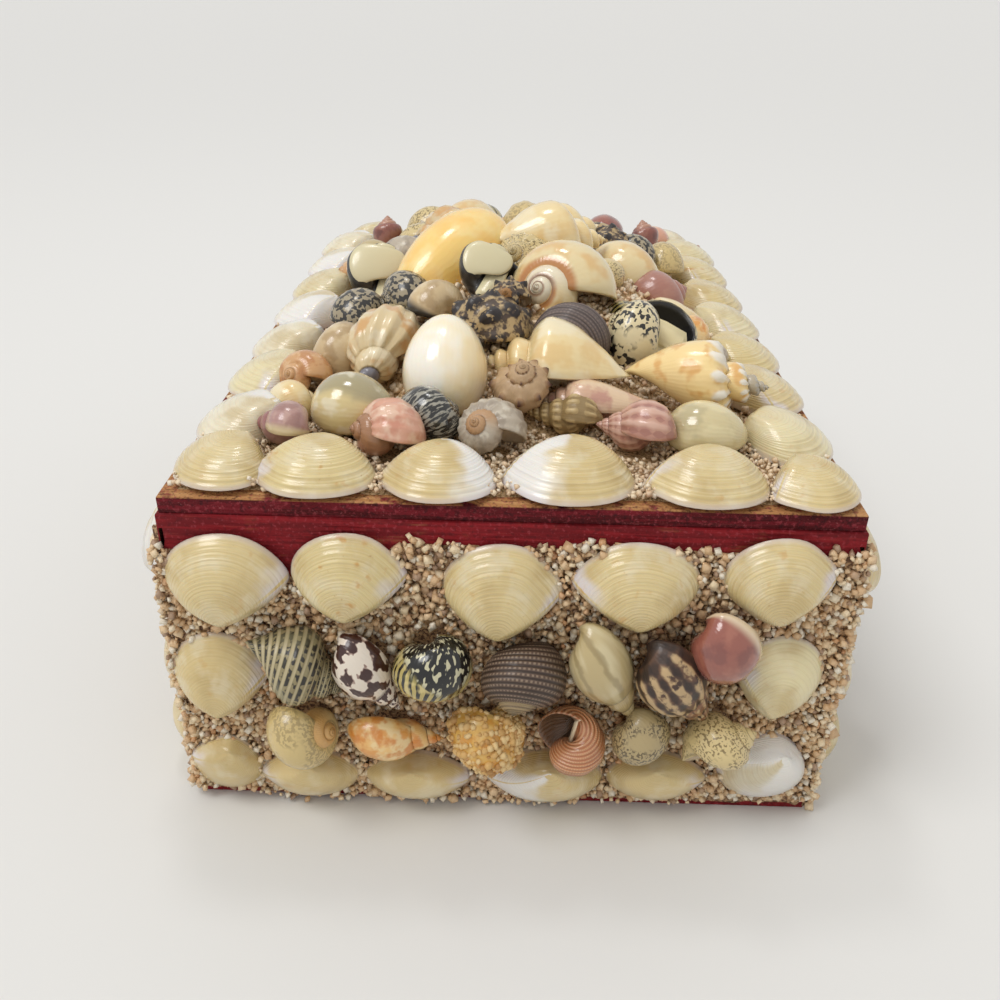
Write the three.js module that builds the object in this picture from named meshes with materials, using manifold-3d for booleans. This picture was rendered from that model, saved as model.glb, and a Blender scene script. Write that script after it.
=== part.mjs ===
// Seashell keepsake box: a stained wooden box with a loose flat lid. Its four walls and its lid carry
// a coat of coarse sand, with clams, snails, whelks and conchs glued in it, in rows on the walls and
// in a heap on the lid.
import * as THREE from "three";
import { mergeVertices } from "three/addons/utils/BufferGeometryUtils.js";
import Module from "manifold-3d";

const wasm = await Module();
wasm.setup();

// Driving dimensions in millimetres. X points right, Y to the back, Z up. The origin is under the
// box's middle.
const BOX_WIDTH = 116;
const BOX_DEPTH = 171;
const BODY_HEIGHT = 62;
const BOARD = 4; // thickness of the walls and of the bottom
const LID_THICKNESS = 3;
const LID_INSET = 0.5; // how far the lid's edges stand back from the walls' faces
const SAND = 0.8; // thickness of the sand coat
const SAND_FOOT = 0.5; // bare wood under the walls' sand
const SAND_TOP = 58.5; // where the walls' sand ends, below a bare strip of wood
const LID_MARGIN = 2.5; // bare wood around the lid's sand
const MOUND = { at: [2, 4], across: 78, along: 128, height: 16 }; // sand and glue under the heap on the lid
const GAP = 0.3; // glue line between a shell and what it sits on
const BEDDED = 0.5; // how deep the small shells sit in the sand that they are one piece with
const BULGE = 0.28; // how far a clam bulges, as a share of its width

const LID_TOP = BODY_HEIGHT + LID_THICKNESS;
const DEGREE = Math.PI / 180;

const COLOURS = {
  stained: 0x7c1525,
  sand: 0xd2bfa6,
  clam: 0xe0d2a2,
  white: 0xe9e2d6,
  cream: 0xd9c79c,
  orange: 0xd99a52,
  rose: 0xb07f74,
  brown: 0x7d5c48,
  dark: 0x3d3a38,
  olive: 0x9c9a72,
};

// Which shells have which colour. The rest are cream clams.
const SHELLS_BY_COLOUR = {
  olive: ["grey_whelk", "green_turban"],
  white: ["flame_snail", "egg_cowrie", "ribbed_turban"],
  dark: ["striped_nerite", "black_nerite", "grey_nerite", "dark_drupe", "black_nerite_2"],
  brown: ["ribbed_nerite", "brown_periwinkle", "star_snail"],
  cream: ["pale_periwinkle", "speckled_moon", "sandy_moon", "cream_turban"],
  rose: ["red_snail", "mauve_conch"],
  orange: ["orange_cone", "peach_turban", "orange_cowrie"],
};

// --- solids --------------------------------------------------------------------------------------

function solidOf(geometry) {
  const bare = geometry.clone();
  bare.deleteAttribute("normal");
  bare.deleteAttribute("uv");
  const merged = mergeVertices(bare, 1e-4);
  return new wasm.Manifold(
    new wasm.Mesh({
      numProp: 3,
      vertProperties: merged.getAttribute("position").array,
      triVerts: new Uint32Array(merged.index.array),
    }),
  );
}

function geometryOf(solid) {
  const { numProp, numVert, vertProperties, triVerts } = solid.getMesh();
  const positions = new Float32Array(numVert * 3);
  for (let i = 0; i < numVert; i += 1) {
    positions.set(vertProperties.subarray(i * numProp, i * numProp + 3), i * 3);
  }
  const geometry = new THREE.BufferGeometry();
  geometry.setAttribute("position", new THREE.BufferAttribute(positions, 3));
  geometry.setIndex(new THREE.BufferAttribute(triVerts, 1));
  geometry.computeVertexNormals();
  return geometry;
}

// What is left of a solid when the crumbs that a cut parted from it are dropped.
function largestBody(solid) {
  return solid.decompose().reduce((a, b) => (a.volume() > b.volume() ? a : b));
}

// A closed surface through rings of equal length, ended by one point on each side.
function skin(start, rings, end) {
  const around = rings[0].length;
  const points = [start, ...rings.flat(), end];
  const at = (ring, i) => 1 + ring * around + (i % around);
  const index = [];
  for (let i = 0; i < around; i += 1) {
    index.push(0, at(0, i), at(0, i + 1));
    for (let ring = 0; ring < rings.length - 1; ring += 1) {
      index.push(at(ring, i), at(ring + 1, i), at(ring, i + 1));
      index.push(at(ring, i + 1), at(ring + 1, i), at(ring + 1, i + 1));
    }
    index.push(points.length - 1, at(rings.length - 1, i + 1), at(rings.length - 1, i));
  }
  const geometry = new THREE.BufferGeometry().setFromPoints(points);
  geometry.setIndex(index);
  return geometry;
}

function ring(around, point) {
  return Array.from({ length: around }, (_, i) => point(i / around));
}

// --- shells, each in its own frame, with z pointing away from what it is glued to ----------------

// One valve of a clam, hollow side down. Its growth rings shrink towards the umbo, near the hinge (-y).
// It is round at the growing edge (+y), drawn in at the hinge and pointed at one end (+x, or -x if
// mirrored).
function clam({ width, height = 0.8 * width, mirror = false, plain = false }) {
  const steps = plain ? [1, 0.6] : [1, 0.78, 0.42];
  const side = mirror ? -1 : 1;
  const umbo = new THREE.Vector3(-0.04 * width, -0.42 * height, 0);
  const rise = (t) => (BULGE * width * (1 - t ** 2.2) ** 0.55 * (1 - 0.6 * (1 - t) ** 1.5)) / 0.69;
  const edge = (turn) => {
    const across = Math.cos(turn * 2 * Math.PI);
    const along = -Math.sin(turn * 2 * Math.PI);
    const x = (width / 2) * across * (1 - 0.3 * Math.max(0, -along) ** 2);
    const y = (height / 2) * along * (1 - 0.3 * Math.max(0, across) ** 3);
    return new THREE.Vector3(x, y, 0);
  };
  const rings = steps.map((t) =>
    ring(plain ? 6 : 10, (turn) => {
      const p = umbo.clone().lerp(edge(side * turn), t);
      return new THREE.Vector3(side * p.x, p.y, rise(t));
    }),
  );
  return skin(new THREE.Vector3(), rings, new THREE.Vector3(side * umbo.x, -0.39 * height, rise(0)));
}

// Coiled shells, as the outer wall of the last whorl: distance from the axis and below the apex, as
// shares of the length. A whorl grows by "growth" in a turn, and the whorls before the last are smaller
// copies of it.
const COILS = {
  moon: {
    growth: 2.8,
    suture: [0.25, 0.16],
    wall: [[0.45, 0.26], [0.56, 0.52]],
    base: [0.38, 0.86],
    foot: 0.92,
  },
  nerite: {
    growth: 3.2,
    suture: [0.32, 0.1],
    wall: [[0.52, 0.25], [0.6, 0.54]],
    base: [0.38, 0.88],
    foot: 0.95,
  },
  periwinkle: {
    growth: 2,
    suture: [0.23, 0.36],
    wall: [[0.37, 0.52], [0.39, 0.68]],
    base: [0.22, 0.93],
    foot: 1,
  },
  turban: {
    growth: 2.1,
    suture: [0.26, 0.3],
    wall: [[0.42, 0.42], [0.46, 0.62]],
    base: [0.3, 0.9],
    foot: 0.95,
  },
  dogwhelk: {
    growth: 2,
    suture: [0.21, 0.33],
    wall: [[0.35, 0.44], [0.37, 0.6]],
    base: [0.15, 0.88],
    foot: 1,
  },
  whelk: {
    growth: 1.9,
    suture: [0.19, 0.32],
    wall: [[0.31, 0.41], [0.29, 0.58]],
    base: [0.12, 0.86],
    foot: 1,
  },
  cone: {
    growth: 1.7,
    suture: [0.23, 0.22],
    wall: [[0.29, 0.31], [0.26, 0.5]],
    base: [0.1, 0.88],
    foot: 1,
  },
  conch: {
    growth: 1.9,
    suture: [0.17, 0.36],
    wall: [[0.28, 0.45], [0.27, 0.62]],
    base: [0.14, 0.88],
    foot: 1,
  },
  cerith: {
    growth: 1.5,
    suture: [0.15, 0.55],
    wall: [[0.2, 0.64], [0.2, 0.8]],
    base: [0.12, 0.94],
    foot: 1,
  },
};

// A coiled shell with its axis along y, its apex at +y and the lip of its mouth on the +x side.
function coil({ kind, length, plain = false }) {
  const { growth, suture, wall, base, foot } = COILS[kind];
  const spire = plain || growth > 2.5 ? 1 : 2; // whorls shown before the last
  const rows = [];
  for (let whorl = spire; whorl > 0; whorl -= 1) {
    rows.push([wall.at(-1), whorl]);
    if (!plain) rows.push([suture, whorl - 1]);
  }
  (plain ? wall.slice(-1) : wall).forEach((at) => rows.push([at, 0]));
  rows.push([base, 0]);
  const rings = rows.map(([[out, down], whorl]) =>
    ring(plain ? 6 : 7, (turn) => {
      const size = length * growth ** -(whorl + turn);
      const angle = turn * 2 * Math.PI;
      return new THREE.Vector3(size * out * Math.cos(angle), -size * down, -size * out * Math.sin(angle));
    }),
  );
  return skin(new THREE.Vector3(), rings, new THREE.Vector3(0, -foot * length, 0));
}

// A cowrie: an egg with its blunt end at +y, flat below.
function cowrie({ length, width, plain = false }) {
  const sections = plain ? [-0.32, 0.2] : [-0.42, -0.18, 0.14, 0.4];
  const rings = sections.map((along) => {
    const across = (width / 2) * Math.sqrt(1 - (2 * along) ** 2) * (1 + 0.25 * along);
    return ring(plain ? 6 : 8, (turn) => {
      const angle = turn * 2 * Math.PI;
      const up = Math.sin(angle);
      return new THREE.Vector3(across * Math.cos(angle), along * length, across * up * (up > 0 ? 1 : 0.55));
    });
  });
  return skin(new THREE.Vector3(0, -length / 2, 0), rings, new THREE.Vector3(0, length / 2, 0));
}

const MAKERS = { clam, cowrie };

// A shell turned and set down with its middle at a place on a face. "turn" turns it in the face from its
// first direction (+y), "tilt" lifts that end off the face and "roll" turns it about its own length. It
// lies on the sand, or has its middle at "rise" above the face, and "clear" is room left around it.
function settled(shell, clear = 0, plain = false) {
  const { kind, at, turn = 0, tilt = 0, roll = 0, rise = 0 } = shell;
  const geometry = (MAKERS[kind] ?? coil)({ ...shell, plain });
  geometry.rotateY(roll * DEGREE);
  geometry.rotateX(tilt * DEGREE);
  geometry.rotateZ(turn * DEGREE);
  geometry.center();
  geometry.computeBoundingBox();
  const size = geometry.boundingBox.getSize(new THREE.Vector3());
  const onSand = (plain ? SAND - BEDDED : SAND + GAP) + size.z / 2;
  geometry.scale(1 + (2 * clear) / size.x, 1 + (2 * clear) / size.y, 1 + (2 * clear) / size.z);
  geometry.translate(at[0], at[1], Math.max(rise, onSand));
  return solidOf(geometry);
}

// Shells that lie against each other: each gives way to those before it, by the glue line between them.
function nested(shells) {
  const placed = [];
  const clearances = [];
  for (const shell of shells) {
    const left = clearances.reduce((body, other) => body.subtract(other), settled(shell));
    placed.push({ ...shell, solid: largestBody(left) });
    clearances.push(settled(shell, GAP));
  }
  return { placed, clearances };
}

// A coat of sand that is one piece with its small shells and has a bed for each shell that is a piece of
// its own.
function coat(slab, smallShells, clearances = []) {
  const joined = smallShells.reduce((body, shell) => body.add(settled(shell, 0, true)), slab);
  return largestBody(clearances.reduce((body, room) => body.subtract(room), joined));
}

function box(width, depth, height, x, y, z) {
  const geometry = new THREE.BoxGeometry(width, depth, height);
  geometry.translate(x, y, z);
  return solidOf(geometry);
}

function colourOf(shellName) {
  return Object.keys(SHELLS_BY_COLOUR).find((c) => SHELLS_BY_COLOUR[c].includes(shellName)) ?? "clam";
}

function named(name, solid, colour, roughness = 0.35) {
  const material = new THREE.MeshStandardMaterial({ color: COLOURS[colour], roughness, metalness: 0 });
  const mesh = new THREE.Mesh(geometryOf(solid), material);
  mesh.name = name;
  return mesh;
}

// --- the wooden box ------------------------------------------------------------------------------

function board(name, size, position) {
  const material = new THREE.MeshStandardMaterial({ color: COLOURS.stained, roughness: 0.8, metalness: 0 });
  const mesh = new THREE.Mesh(new THREE.BoxGeometry(...size), material);
  mesh.position.set(...position);
  mesh.name = name;
  return mesh;
}

function woodenBox() {
  const group = new THREE.Group();
  const wallHeight = BODY_HEIGHT - BOARD;
  const middle = BOARD + wallHeight / 2;
  const frontY = (BOX_DEPTH - BOARD) / 2;
  const sideX = (BOX_WIDTH - BOARD) / 2;
  const lidSize = [BOX_WIDTH - 2 * LID_INSET, BOX_DEPTH - 2 * LID_INSET, LID_THICKNESS];
  group.add(board("bottom_board", [BOX_WIDTH, BOX_DEPTH, BOARD], [0, 0, BOARD / 2]));
  group.add(board("front_board", [BOX_WIDTH, BOARD, wallHeight], [0, -frontY, middle]));
  group.add(board("back_board", [BOX_WIDTH, BOARD, wallHeight], [0, frontY, middle]));
  group.add(board("left_board", [BOARD, BOX_DEPTH - 2 * BOARD, wallHeight], [-sideX, 0, middle]));
  group.add(board("right_board", [BOARD, BOX_DEPTH - 2 * BOARD, wallHeight], [sideX, 0, middle]));
  group.add(board("lid_board", lidSize, [0, 0, BODY_HEIGHT + LID_THICKNESS / 2]));
  return group;
}

// --- the walls' shells, placed from the middle of the wall's lower edge --------------------------

const FRONT_SHELLS = [
  { name: "top_clam_1", kind: "clam", at: [-47, 51.5], width: 21, height: 16 },
  { name: "top_clam_2", kind: "clam", at: [-26.5, 52.5], width: 19.5, height: 15.5 },
  { name: "top_clam_3", kind: "clam", at: [-1, 50.5], width: 20.5, height: 17 },
  { name: "top_clam_4", kind: "clam", at: [21, 52.5], width: 21.5, height: 15, mirror: true },
  { name: "top_clam_5", kind: "clam", at: [44.5, 54], width: 19, height: 15, turn: 6 },
  { name: "left_clam", kind: "clam", at: [-50.5, 31], width: 17, height: 17 },
  { name: "right_clam", kind: "clam", at: [47.5, 34], width: 15.5, height: 16.5, turn: -12, mirror: true },
  { name: "bottom_clam_1", kind: "clam", at: [-52, 9], width: 14, height: 13.5, turn: 165 },
  { name: "bottom_clam_2", kind: "clam", at: [-36.5, 7.5], width: 19, height: 12.5, turn: 180 },
  { name: "bottom_clam_3", kind: "clam", at: [-16, 7.5], width: 20.5, height: 12, turn: 180, mirror: true },
  { name: "bottom_clam_4", kind: "clam", at: [7.5, 8.5], width: 22.5, height: 13.5, turn: 180 },
  { name: "bottom_clam_5", kind: "clam", at: [28.5, 9], width: 19, height: 12.5, turn: 180, mirror: true },
  { name: "bottom_clam_6", kind: "clam", at: [47.5, 12], width: 17.5, height: 16.5, turn: 160 },
  { name: "grey_whelk", kind: "dogwhelk", at: [-36, 36], length: 19, turn: -118, roll: 150 },
  { name: "flame_snail", kind: "periwinkle", at: [-24, 35], length: 17.5, turn: -150, roll: 120 },
  { name: "striped_nerite", kind: "nerite", at: [-12.5, 37], length: 15.5, turn: -170, roll: 130 },
  { name: "ribbed_nerite", kind: "nerite", at: [3, 35.5], length: 14, turn: 175, tilt: 45 },
  { name: "pale_periwinkle", kind: "periwinkle", at: [16, 38], length: 20, turn: -155, roll: 200 },
  { name: "brown_periwinkle", kind: "periwinkle", at: [28.5, 36], length: 20, turn: -140, roll: 200 },
  { name: "red_snail", kind: "turban", at: [35.5, 44], length: 15.5, turn: -140, roll: 170 },
  { name: "speckled_moon", kind: "moon", at: [-36, 21.5], length: 13, turn: -75, roll: 160 },
  { name: "orange_cone", kind: "cone", at: [-20, 20.5], length: 17.5, turn: -90, roll: 150 },
  { name: "sandy_moon", kind: "moon", at: [-3, 23], length: 14.5, turn: -60, roll: 190 },
  { name: "peach_turban", kind: "turban", at: [11.5, 21.5], length: 15, turn: -70, roll: 20 },
  { name: "green_turban", kind: "turban", at: [24, 23], length: 14, turn: -150, roll: 190 },
  { name: "cream_turban", kind: "turban", at: [37.5, 22.5], length: 15, turn: -60, roll: 40 },
];

const WALL_ROWS = { top: 50.5, upper: 36, lower: 21.5, bottom: 7.8 }; // heights of the rows of small shells
const SNAIL_KINDS = ["moon", "periwinkle", "turban", "whelk", "nerite", "cone"];

// Rows of small shells on a wall, in keeping with the front: clams along the top and the bottom, a clam
// at each end between them, and two staggered rows of snails in the middle.
function rowsOfShells(wallLength, clams, snails) {
  const clamPitch = (wallLength - 6) / clams;
  const snailPitch = (wallLength - 42) / snails;
  const shells = [];
  for (let i = 0; i < clams; i += 1) {
    const x = (i - (clams - 1) / 2) * clamPitch;
    const width = clamPitch - 1 - (i % 3);
    const mirror = i % 2 === 1;
    const turn = 7 * Math.sin(2.3 * i);
    shells.push({ kind: "clam", at: [x, WALL_ROWS.top], width, height: 17.5, turn, mirror });
    shells.push({ kind: "clam", at: [-x, WALL_ROWS.bottom], width, height: 14, turn: 180 - turn, mirror });
  }
  for (const side of [-1, 1]) {
    const x = side * (wallLength / 2 - 9);
    shells.push({ kind: "clam", at: [x, 30], width: 16, height: 19, mirror: side > 0 });
  }
  for (let i = 0; i < snails; i += 1) {
    const x = (i - (snails - 1) / 2) * snailPitch;
    const kind = SNAIL_KINDS[i % SNAIL_KINDS.length];
    const other = SNAIL_KINDS[(i + 3) % SNAIL_KINDS.length];
    const turn = 180 + 70 * Math.sin(1.9 * i);
    const lowerX = x + snailPitch / 2 - 2;
    shells.push({ kind, at: [x - 2, WALL_ROWS.upper], length: 15, turn, roll: 150 });
    shells.push({ kind: other, at: [lowerX, WALL_ROWS.lower], length: 14, turn: -turn, roll: 190 });
  }
  return shells;
}

function wallSlab(length) {
  const height = SAND_TOP - SAND_FOOT;
  return box(length, height, SAND, 0, SAND_FOOT + height / 2, SAND / 2);
}

// A wall's group: x along the wall, y up, z outwards.
function onWall(turn, distance, meshes) {
  const pivot = new THREE.Group();
  const face = new THREE.Group();
  pivot.rotation.z = turn * DEGREE;
  face.position.y = -distance;
  face.rotation.x = 90 * DEGREE;
  face.add(...meshes);
  pivot.add(face);
  return pivot;
}

function frontWall() {
  const sand = named("front_sand", wallSlab(BOX_WIDTH + 2 * SAND), "sand", 0.95);
  const { placed } = nested(FRONT_SHELLS);
  const shells = placed.map((s) => named(`front_${s.name}`, s.solid, colourOf(s.name)));
  return onWall(0, BOX_DEPTH / 2, [sand, ...shells]);
}

function plainerWalls() {
  const backSand = coat(wallSlab(BOX_WIDTH + 2 * SAND), rowsOfShells(BOX_WIDTH, 5, 5));
  const sideSand = coat(wallSlab(BOX_DEPTH), rowsOfShells(BOX_DEPTH, 8, 7));
  return [
    onWall(90, BOX_WIDTH / 2, [named("right_sand_and_shells", sideSand, "sand", 0.95)]),
    onWall(180, BOX_DEPTH / 2, [named("back_sand_and_shells", backSand, "sand", 0.95)]),
    onWall(270, BOX_WIDTH / 2, [named("left_sand_and_shells", sideSand, "sand", 0.95)]),
  ];
}

// --- the lid's shells, placed from the middle of the lid -----------------------------------------

const LID_SHELLS = [
  { name: "front_clam_1", kind: "clam", at: [-49, -77], width: 18, height: 15, turn: 150 },
  { name: "front_clam_2", kind: "clam", at: [-32.7, -79], width: 20, height: 14, turn: 180 },
  { name: "front_clam_3", kind: "clam", at: [-12.2, -79.5], width: 19.5, height: 14, turn: 180 },
  { name: "front_clam_4", kind: "clam", at: [9.4, -78.5], width: 22.5, height: 16, turn: 180 },
  { name: "front_clam_5", kind: "clam", at: [32.2, -79.3], width: 21, height: 14, turn: 180 },
  { name: "front_clam_6", kind: "clam", at: [50, -79.5], width: 15.5, height: 14, turn: 205 },
  { name: "cream_conch", kind: "conch", at: [7.5, -45.5], rise: 9, length: 26, turn: 80, roll: 180 },
  { name: "knobbed_conch", kind: "conch", at: [34, -49.5], rise: 9, length: 28, turn: -100, roll: 170 },
  { name: "egg_cowrie", kind: "cowrie", at: [-13, -52], rise: 9, length: 16, width: 14.5, tilt: 50 },
  { name: "olive_cowrie", kind: "cowrie", at: [-29, -61], rise: 6, length: 15.5, width: 12.5, turn: 75 },
  { name: "black_nerite", kind: "nerite", at: [-15, -63.5], rise: 6, length: 13, turn: -110, roll: 150 },
  { name: "ribbed_turban", kind: "turban", at: [-3.6, -67], rise: 5.5, length: 14, turn: 150, tilt: 40 },
  { name: "star_snail", kind: "turban", at: [1, -56.5], rise: 8, length: 11.5, turn: 10, tilt: 60 },
  { name: "mauve_conch", kind: "whelk", at: [21.5, -66.5], rise: 4.5, length: 15.5, turn: 75, roll: 160 },
  { name: "clear_cowrie", kind: "cowrie", at: [34, -64.8], rise: 5, length: 14.5, width: 12, turn: 80 },
  { name: "speckled_nerite", kind: "nerite", at: [28, -32], rise: 9.5, length: 19, turn: 60, roll: 10 },
  { name: "grey_nerite", kind: "nerite", at: [11, -37], rise: 13.5, length: 16, turn: -30, roll: 150 },
  { name: "dark_drupe", kind: "dogwhelk", at: [-7.5, -33], rise: 13, length: 21, turn: 100, roll: 160 },
  { name: "nodular_whelk", kind: "dogwhelk", at: [-26.5, -34], rise: 9, length: 25, turn: 20, roll: 160 },
  { name: "moon_snail", kind: "moon", at: [10, -18], rise: 16.5, length: 24, turn: 80, tilt: 25, roll: 200 },
  { name: "orange_cowrie", kind: "cowrie", at: [-15, 2], rise: 15, length: 30, width: 18, turn: -50 },
  { name: "black_nerite_2", kind: "nerite", at: [-5.5, -17.5], rise: 18, length: 13, turn: 40, roll: 20 },
  { name: "top_conch", kind: "conch", at: [7, 5], rise: 22, length: 28.5, turn: -70, roll: 180 },
];

const LID_SMALL_SHELLS = [
  { kind: "moon", at: [-40.5, -67.5], length: 10.5, turn: 80, roll: 150 },
  { kind: "periwinkle", at: [-21.3, -70], length: 13, turn: 100, roll: 160 },
  { kind: "cerith", at: [9, -59], length: 15, turn: 70, roll: 150 },
  { kind: "turban", at: [-41, -43.5], length: 11.5, turn: 150, roll: 150 },
  { kind: "turban", at: [-37, -14], length: 15, turn: 30, roll: 160 },
  { kind: "nerite", at: [-33, 17], length: 14.5, turn: 60, roll: 20 },
  { kind: "cone", at: [-36.5, 52], length: 14, turn: 10, roll: 150 },
  { kind: "periwinkle", at: [35, -8], length: 15, turn: -70, roll: 150 },
  { kind: "turban", at: [33, 10], length: 14, turn: 50, roll: 150 },
  { kind: "nerite", at: [30, 30], length: 16, turn: -40, roll: 150 },
  { kind: "cone", at: [35, 52], length: 13, turn: 30, roll: 150 },
  { kind: "whelk", at: [-17, 28], rise: 16, length: 22, turn: 120, roll: 160 },
  { kind: "conch", at: [9, 29], rise: 17, length: 26, turn: -60, roll: 160 },
  { kind: "moon", at: [-10, 49], rise: 10, length: 18, turn: 40, roll: 160 },
  { kind: "turban", at: [15, 50], rise: 9, length: 18, turn: -30, roll: 150 },
];

const EDGE_CLAM = { width: 19, height: 15 };
const CORNER_TURN = 35; // the back corners' clams point to the corners

// Clams along the lid's left, right and back edges, their growing edges outwards.
function edgeClams() {
  const clams = [];
  for (let i = 0; i < 7; i += 1) {
    const y = -59.5 + 20.3 * i;
    const turn = 5 * Math.sin(2.1 * i);
    const mirror = i % 2 === 1;
    clams.push({ kind: "clam", at: [-49.5, y], ...EDGE_CLAM, turn: 90 + turn, mirror });
    clams.push({ kind: "clam", at: [49.5, y - 1.5], ...EDGE_CLAM, turn: -90 + turn, mirror: !mirror });
  }
  for (let i = 0; i < 5; i += 1) {
    const turn = CORNER_TURN * [1, 0, 0, 0, -1][i];
    clams.push({ kind: "clam", at: [-44 + 22 * i, 77], ...EDGE_CLAM, turn, mirror: i % 2 === 0 });
  }
  return clams;
}

// The low mound that the heap is built on: an oval dome.
function mound() {
  const profile = [[1, 0], [0.8, 0.42], [0.5, 0.8], [0.2, 0.98]];
  const [x, y] = MOUND.at;
  const rings = profile.map(([out, up]) =>
    ring(8, (turn) => {
      const angle = -turn * 2 * Math.PI;
      const across = (MOUND.across / 2) * out * Math.cos(angle);
      const along = (MOUND.along / 2) * out * Math.sin(angle);
      return new THREE.Vector3(x + across, y + along, SAND / 2 + up * MOUND.height);
    }),
  );
  const foot = new THREE.Vector3(x, y, SAND / 2);
  return solidOf(skin(foot, rings, new THREE.Vector3(x, y, SAND / 2 + MOUND.height)));
}

function lidTop() {
  const { placed, clearances } = nested(LID_SHELLS);
  const width = BOX_WIDTH - 2 * (LID_INSET + LID_MARGIN);
  const depth = BOX_DEPTH - 2 * (LID_INSET + LID_MARGIN);
  const bed = box(width, depth, SAND, 0, 0, SAND / 2).add(mound());
  const sand = coat(bed, [...edgeClams(), ...LID_SMALL_SHELLS], clearances);
  const group = new THREE.Group();
  group.position.z = LID_TOP;
  group.add(named("lid_sand_and_small_shells", sand, "sand", 0.95));
  group.add(...placed.map((s) => named(`lid_${s.name}`, s.solid, colourOf(s.name))));
  return group;
}

const shellBox = new THREE.Group();
shellBox.add(woodenBox(), frontWall(), ...plainerWalls(), lidTop());

export default shellBox;
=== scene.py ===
# Seashell keepsake box: the looks of its wood, sand and shells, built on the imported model.
import math

import bpy
import numpy as np
from mathutils import Euler, Matrix, Vector


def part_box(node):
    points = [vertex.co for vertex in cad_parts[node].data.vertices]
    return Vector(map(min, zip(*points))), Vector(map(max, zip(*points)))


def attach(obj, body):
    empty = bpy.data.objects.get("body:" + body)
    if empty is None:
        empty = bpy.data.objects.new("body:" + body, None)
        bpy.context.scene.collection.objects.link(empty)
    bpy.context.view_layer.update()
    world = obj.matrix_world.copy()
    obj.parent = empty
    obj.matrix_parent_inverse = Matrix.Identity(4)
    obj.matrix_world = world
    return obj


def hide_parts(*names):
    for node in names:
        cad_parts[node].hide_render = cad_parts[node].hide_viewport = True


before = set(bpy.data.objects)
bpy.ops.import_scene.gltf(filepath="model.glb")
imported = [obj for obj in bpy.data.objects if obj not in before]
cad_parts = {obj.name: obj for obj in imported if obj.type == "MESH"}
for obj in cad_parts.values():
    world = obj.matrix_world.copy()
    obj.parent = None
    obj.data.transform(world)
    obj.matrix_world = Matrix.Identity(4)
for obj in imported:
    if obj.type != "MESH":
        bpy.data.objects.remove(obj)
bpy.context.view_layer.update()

# Millimetres, as the box is built. Meshes are scaled to metres when they are set down.
MM = 0.001
WIDTH, DEPTH, LID_TOP = 116, 171, 65
SAND, GLUE = 0.8, 0.3  # thickness of the sand coat, and of the glue under a shell
SAND_FOOT, SAND_HIGH = 0.5, 59  # bare wood under the walls' sand, and the height of the coat
BULGE = 0.28  # how far a clam bulges, as a share of its width
CIRCLE = 2 * math.pi

# Each face's own x, y and outward z in the box's frame, and the place of its origin.
FACES = {
    "front": ([[1, 0, 0], [0, 0, -1], [0, 1, 0]], [0, -DEPTH / 2, 0]),
    "right": ([[0, 0, 1], [1, 0, 0], [0, 1, 0]], [WIDTH / 2, 0, 0]),
    "back": ([[-1, 0, 0], [0, 0, 1], [0, 1, 0]], [0, DEPTH / 2, 0]),
    "left": ([[0, 0, -1], [-1, 0, 0], [0, 1, 0]], [-WIDTH / 2, 0, 0]),
    "lid": ([[1, 0, 0], [0, 1, 0], [0, 0, 1]], [0, 0, LID_TOP]),
}

# --- modelling helpers ---


def start_fresh():
    bpy.ops.object.select_all(action="DESELECT")


def edit_all():
    bpy.ops.object.mode_set(mode="EDIT")
    bpy.ops.mesh.select_all(action="SELECT")


def smooth_outside():
    """Turns every face outwards and shades the skin smooth."""
    edit_all()
    bpy.ops.mesh.normals_make_consistent(inside=False)
    bpy.ops.object.mode_set(mode="OBJECT")
    bpy.ops.object.shade_smooth()


def corners(mesh):
    points = np.empty(len(mesh.vertices) * 3, np.float32)
    mesh.vertices.foreach_get("co", points)
    return points.reshape(-1, 3).astype(float)


def move_corners(mesh, points):
    mesh.vertices.foreach_set("co", np.asarray(points, np.float32).ravel())
    mesh.update()


def mark_growth(mesh, values):
    """Writes where each point lies on its shell: turn or angle, place along the wall, relief."""
    mark = mesh.attributes.new("growth", "FLOAT_VECTOR", "POINT")
    mark.data.foreach_set("vector", np.asarray(values, np.float32).ravel())


def draw_together(piece, first, last):
    """Closes a ring by drawing its points together."""
    bpy.ops.object.mode_set(mode="EDIT")
    bpy.ops.mesh.select_all(action="DESELECT")
    bpy.ops.object.mode_set(mode="OBJECT")
    for i in range(first, last):
        piece.data.vertices[i].select = True
    bpy.ops.object.mode_set(mode="EDIT")
    bpy.ops.mesh.merge(type="CENTER")
    bpy.ops.object.mode_set(mode="OBJECT")


def swept(name, rings, marks):
    """A closed skin: a circle extruded once per ring, each ring moved to its place, both ends closed."""
    count, around = rings.shape[:2]
    start_fresh()
    bpy.ops.mesh.primitive_circle_add(vertices=around, radius=1)
    piece = bpy.context.object
    piece.name = name
    bpy.ops.object.mode_set(mode="EDIT")
    bpy.ops.mesh.select_mode(type="VERT")
    bpy.ops.mesh.select_all(action="SELECT")
    for _ in range(count - 1):
        bpy.ops.mesh.extrude_edges_move()
    bpy.ops.object.mode_set(mode="OBJECT")
    move_corners(piece.data, rings.reshape(-1, 3))
    mark_growth(piece.data, marks.reshape(-1, 3))
    draw_together(piece, (count - 1) * around, count * around)
    draw_together(piece, 0, around)
    smooth_outside()
    return piece


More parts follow.
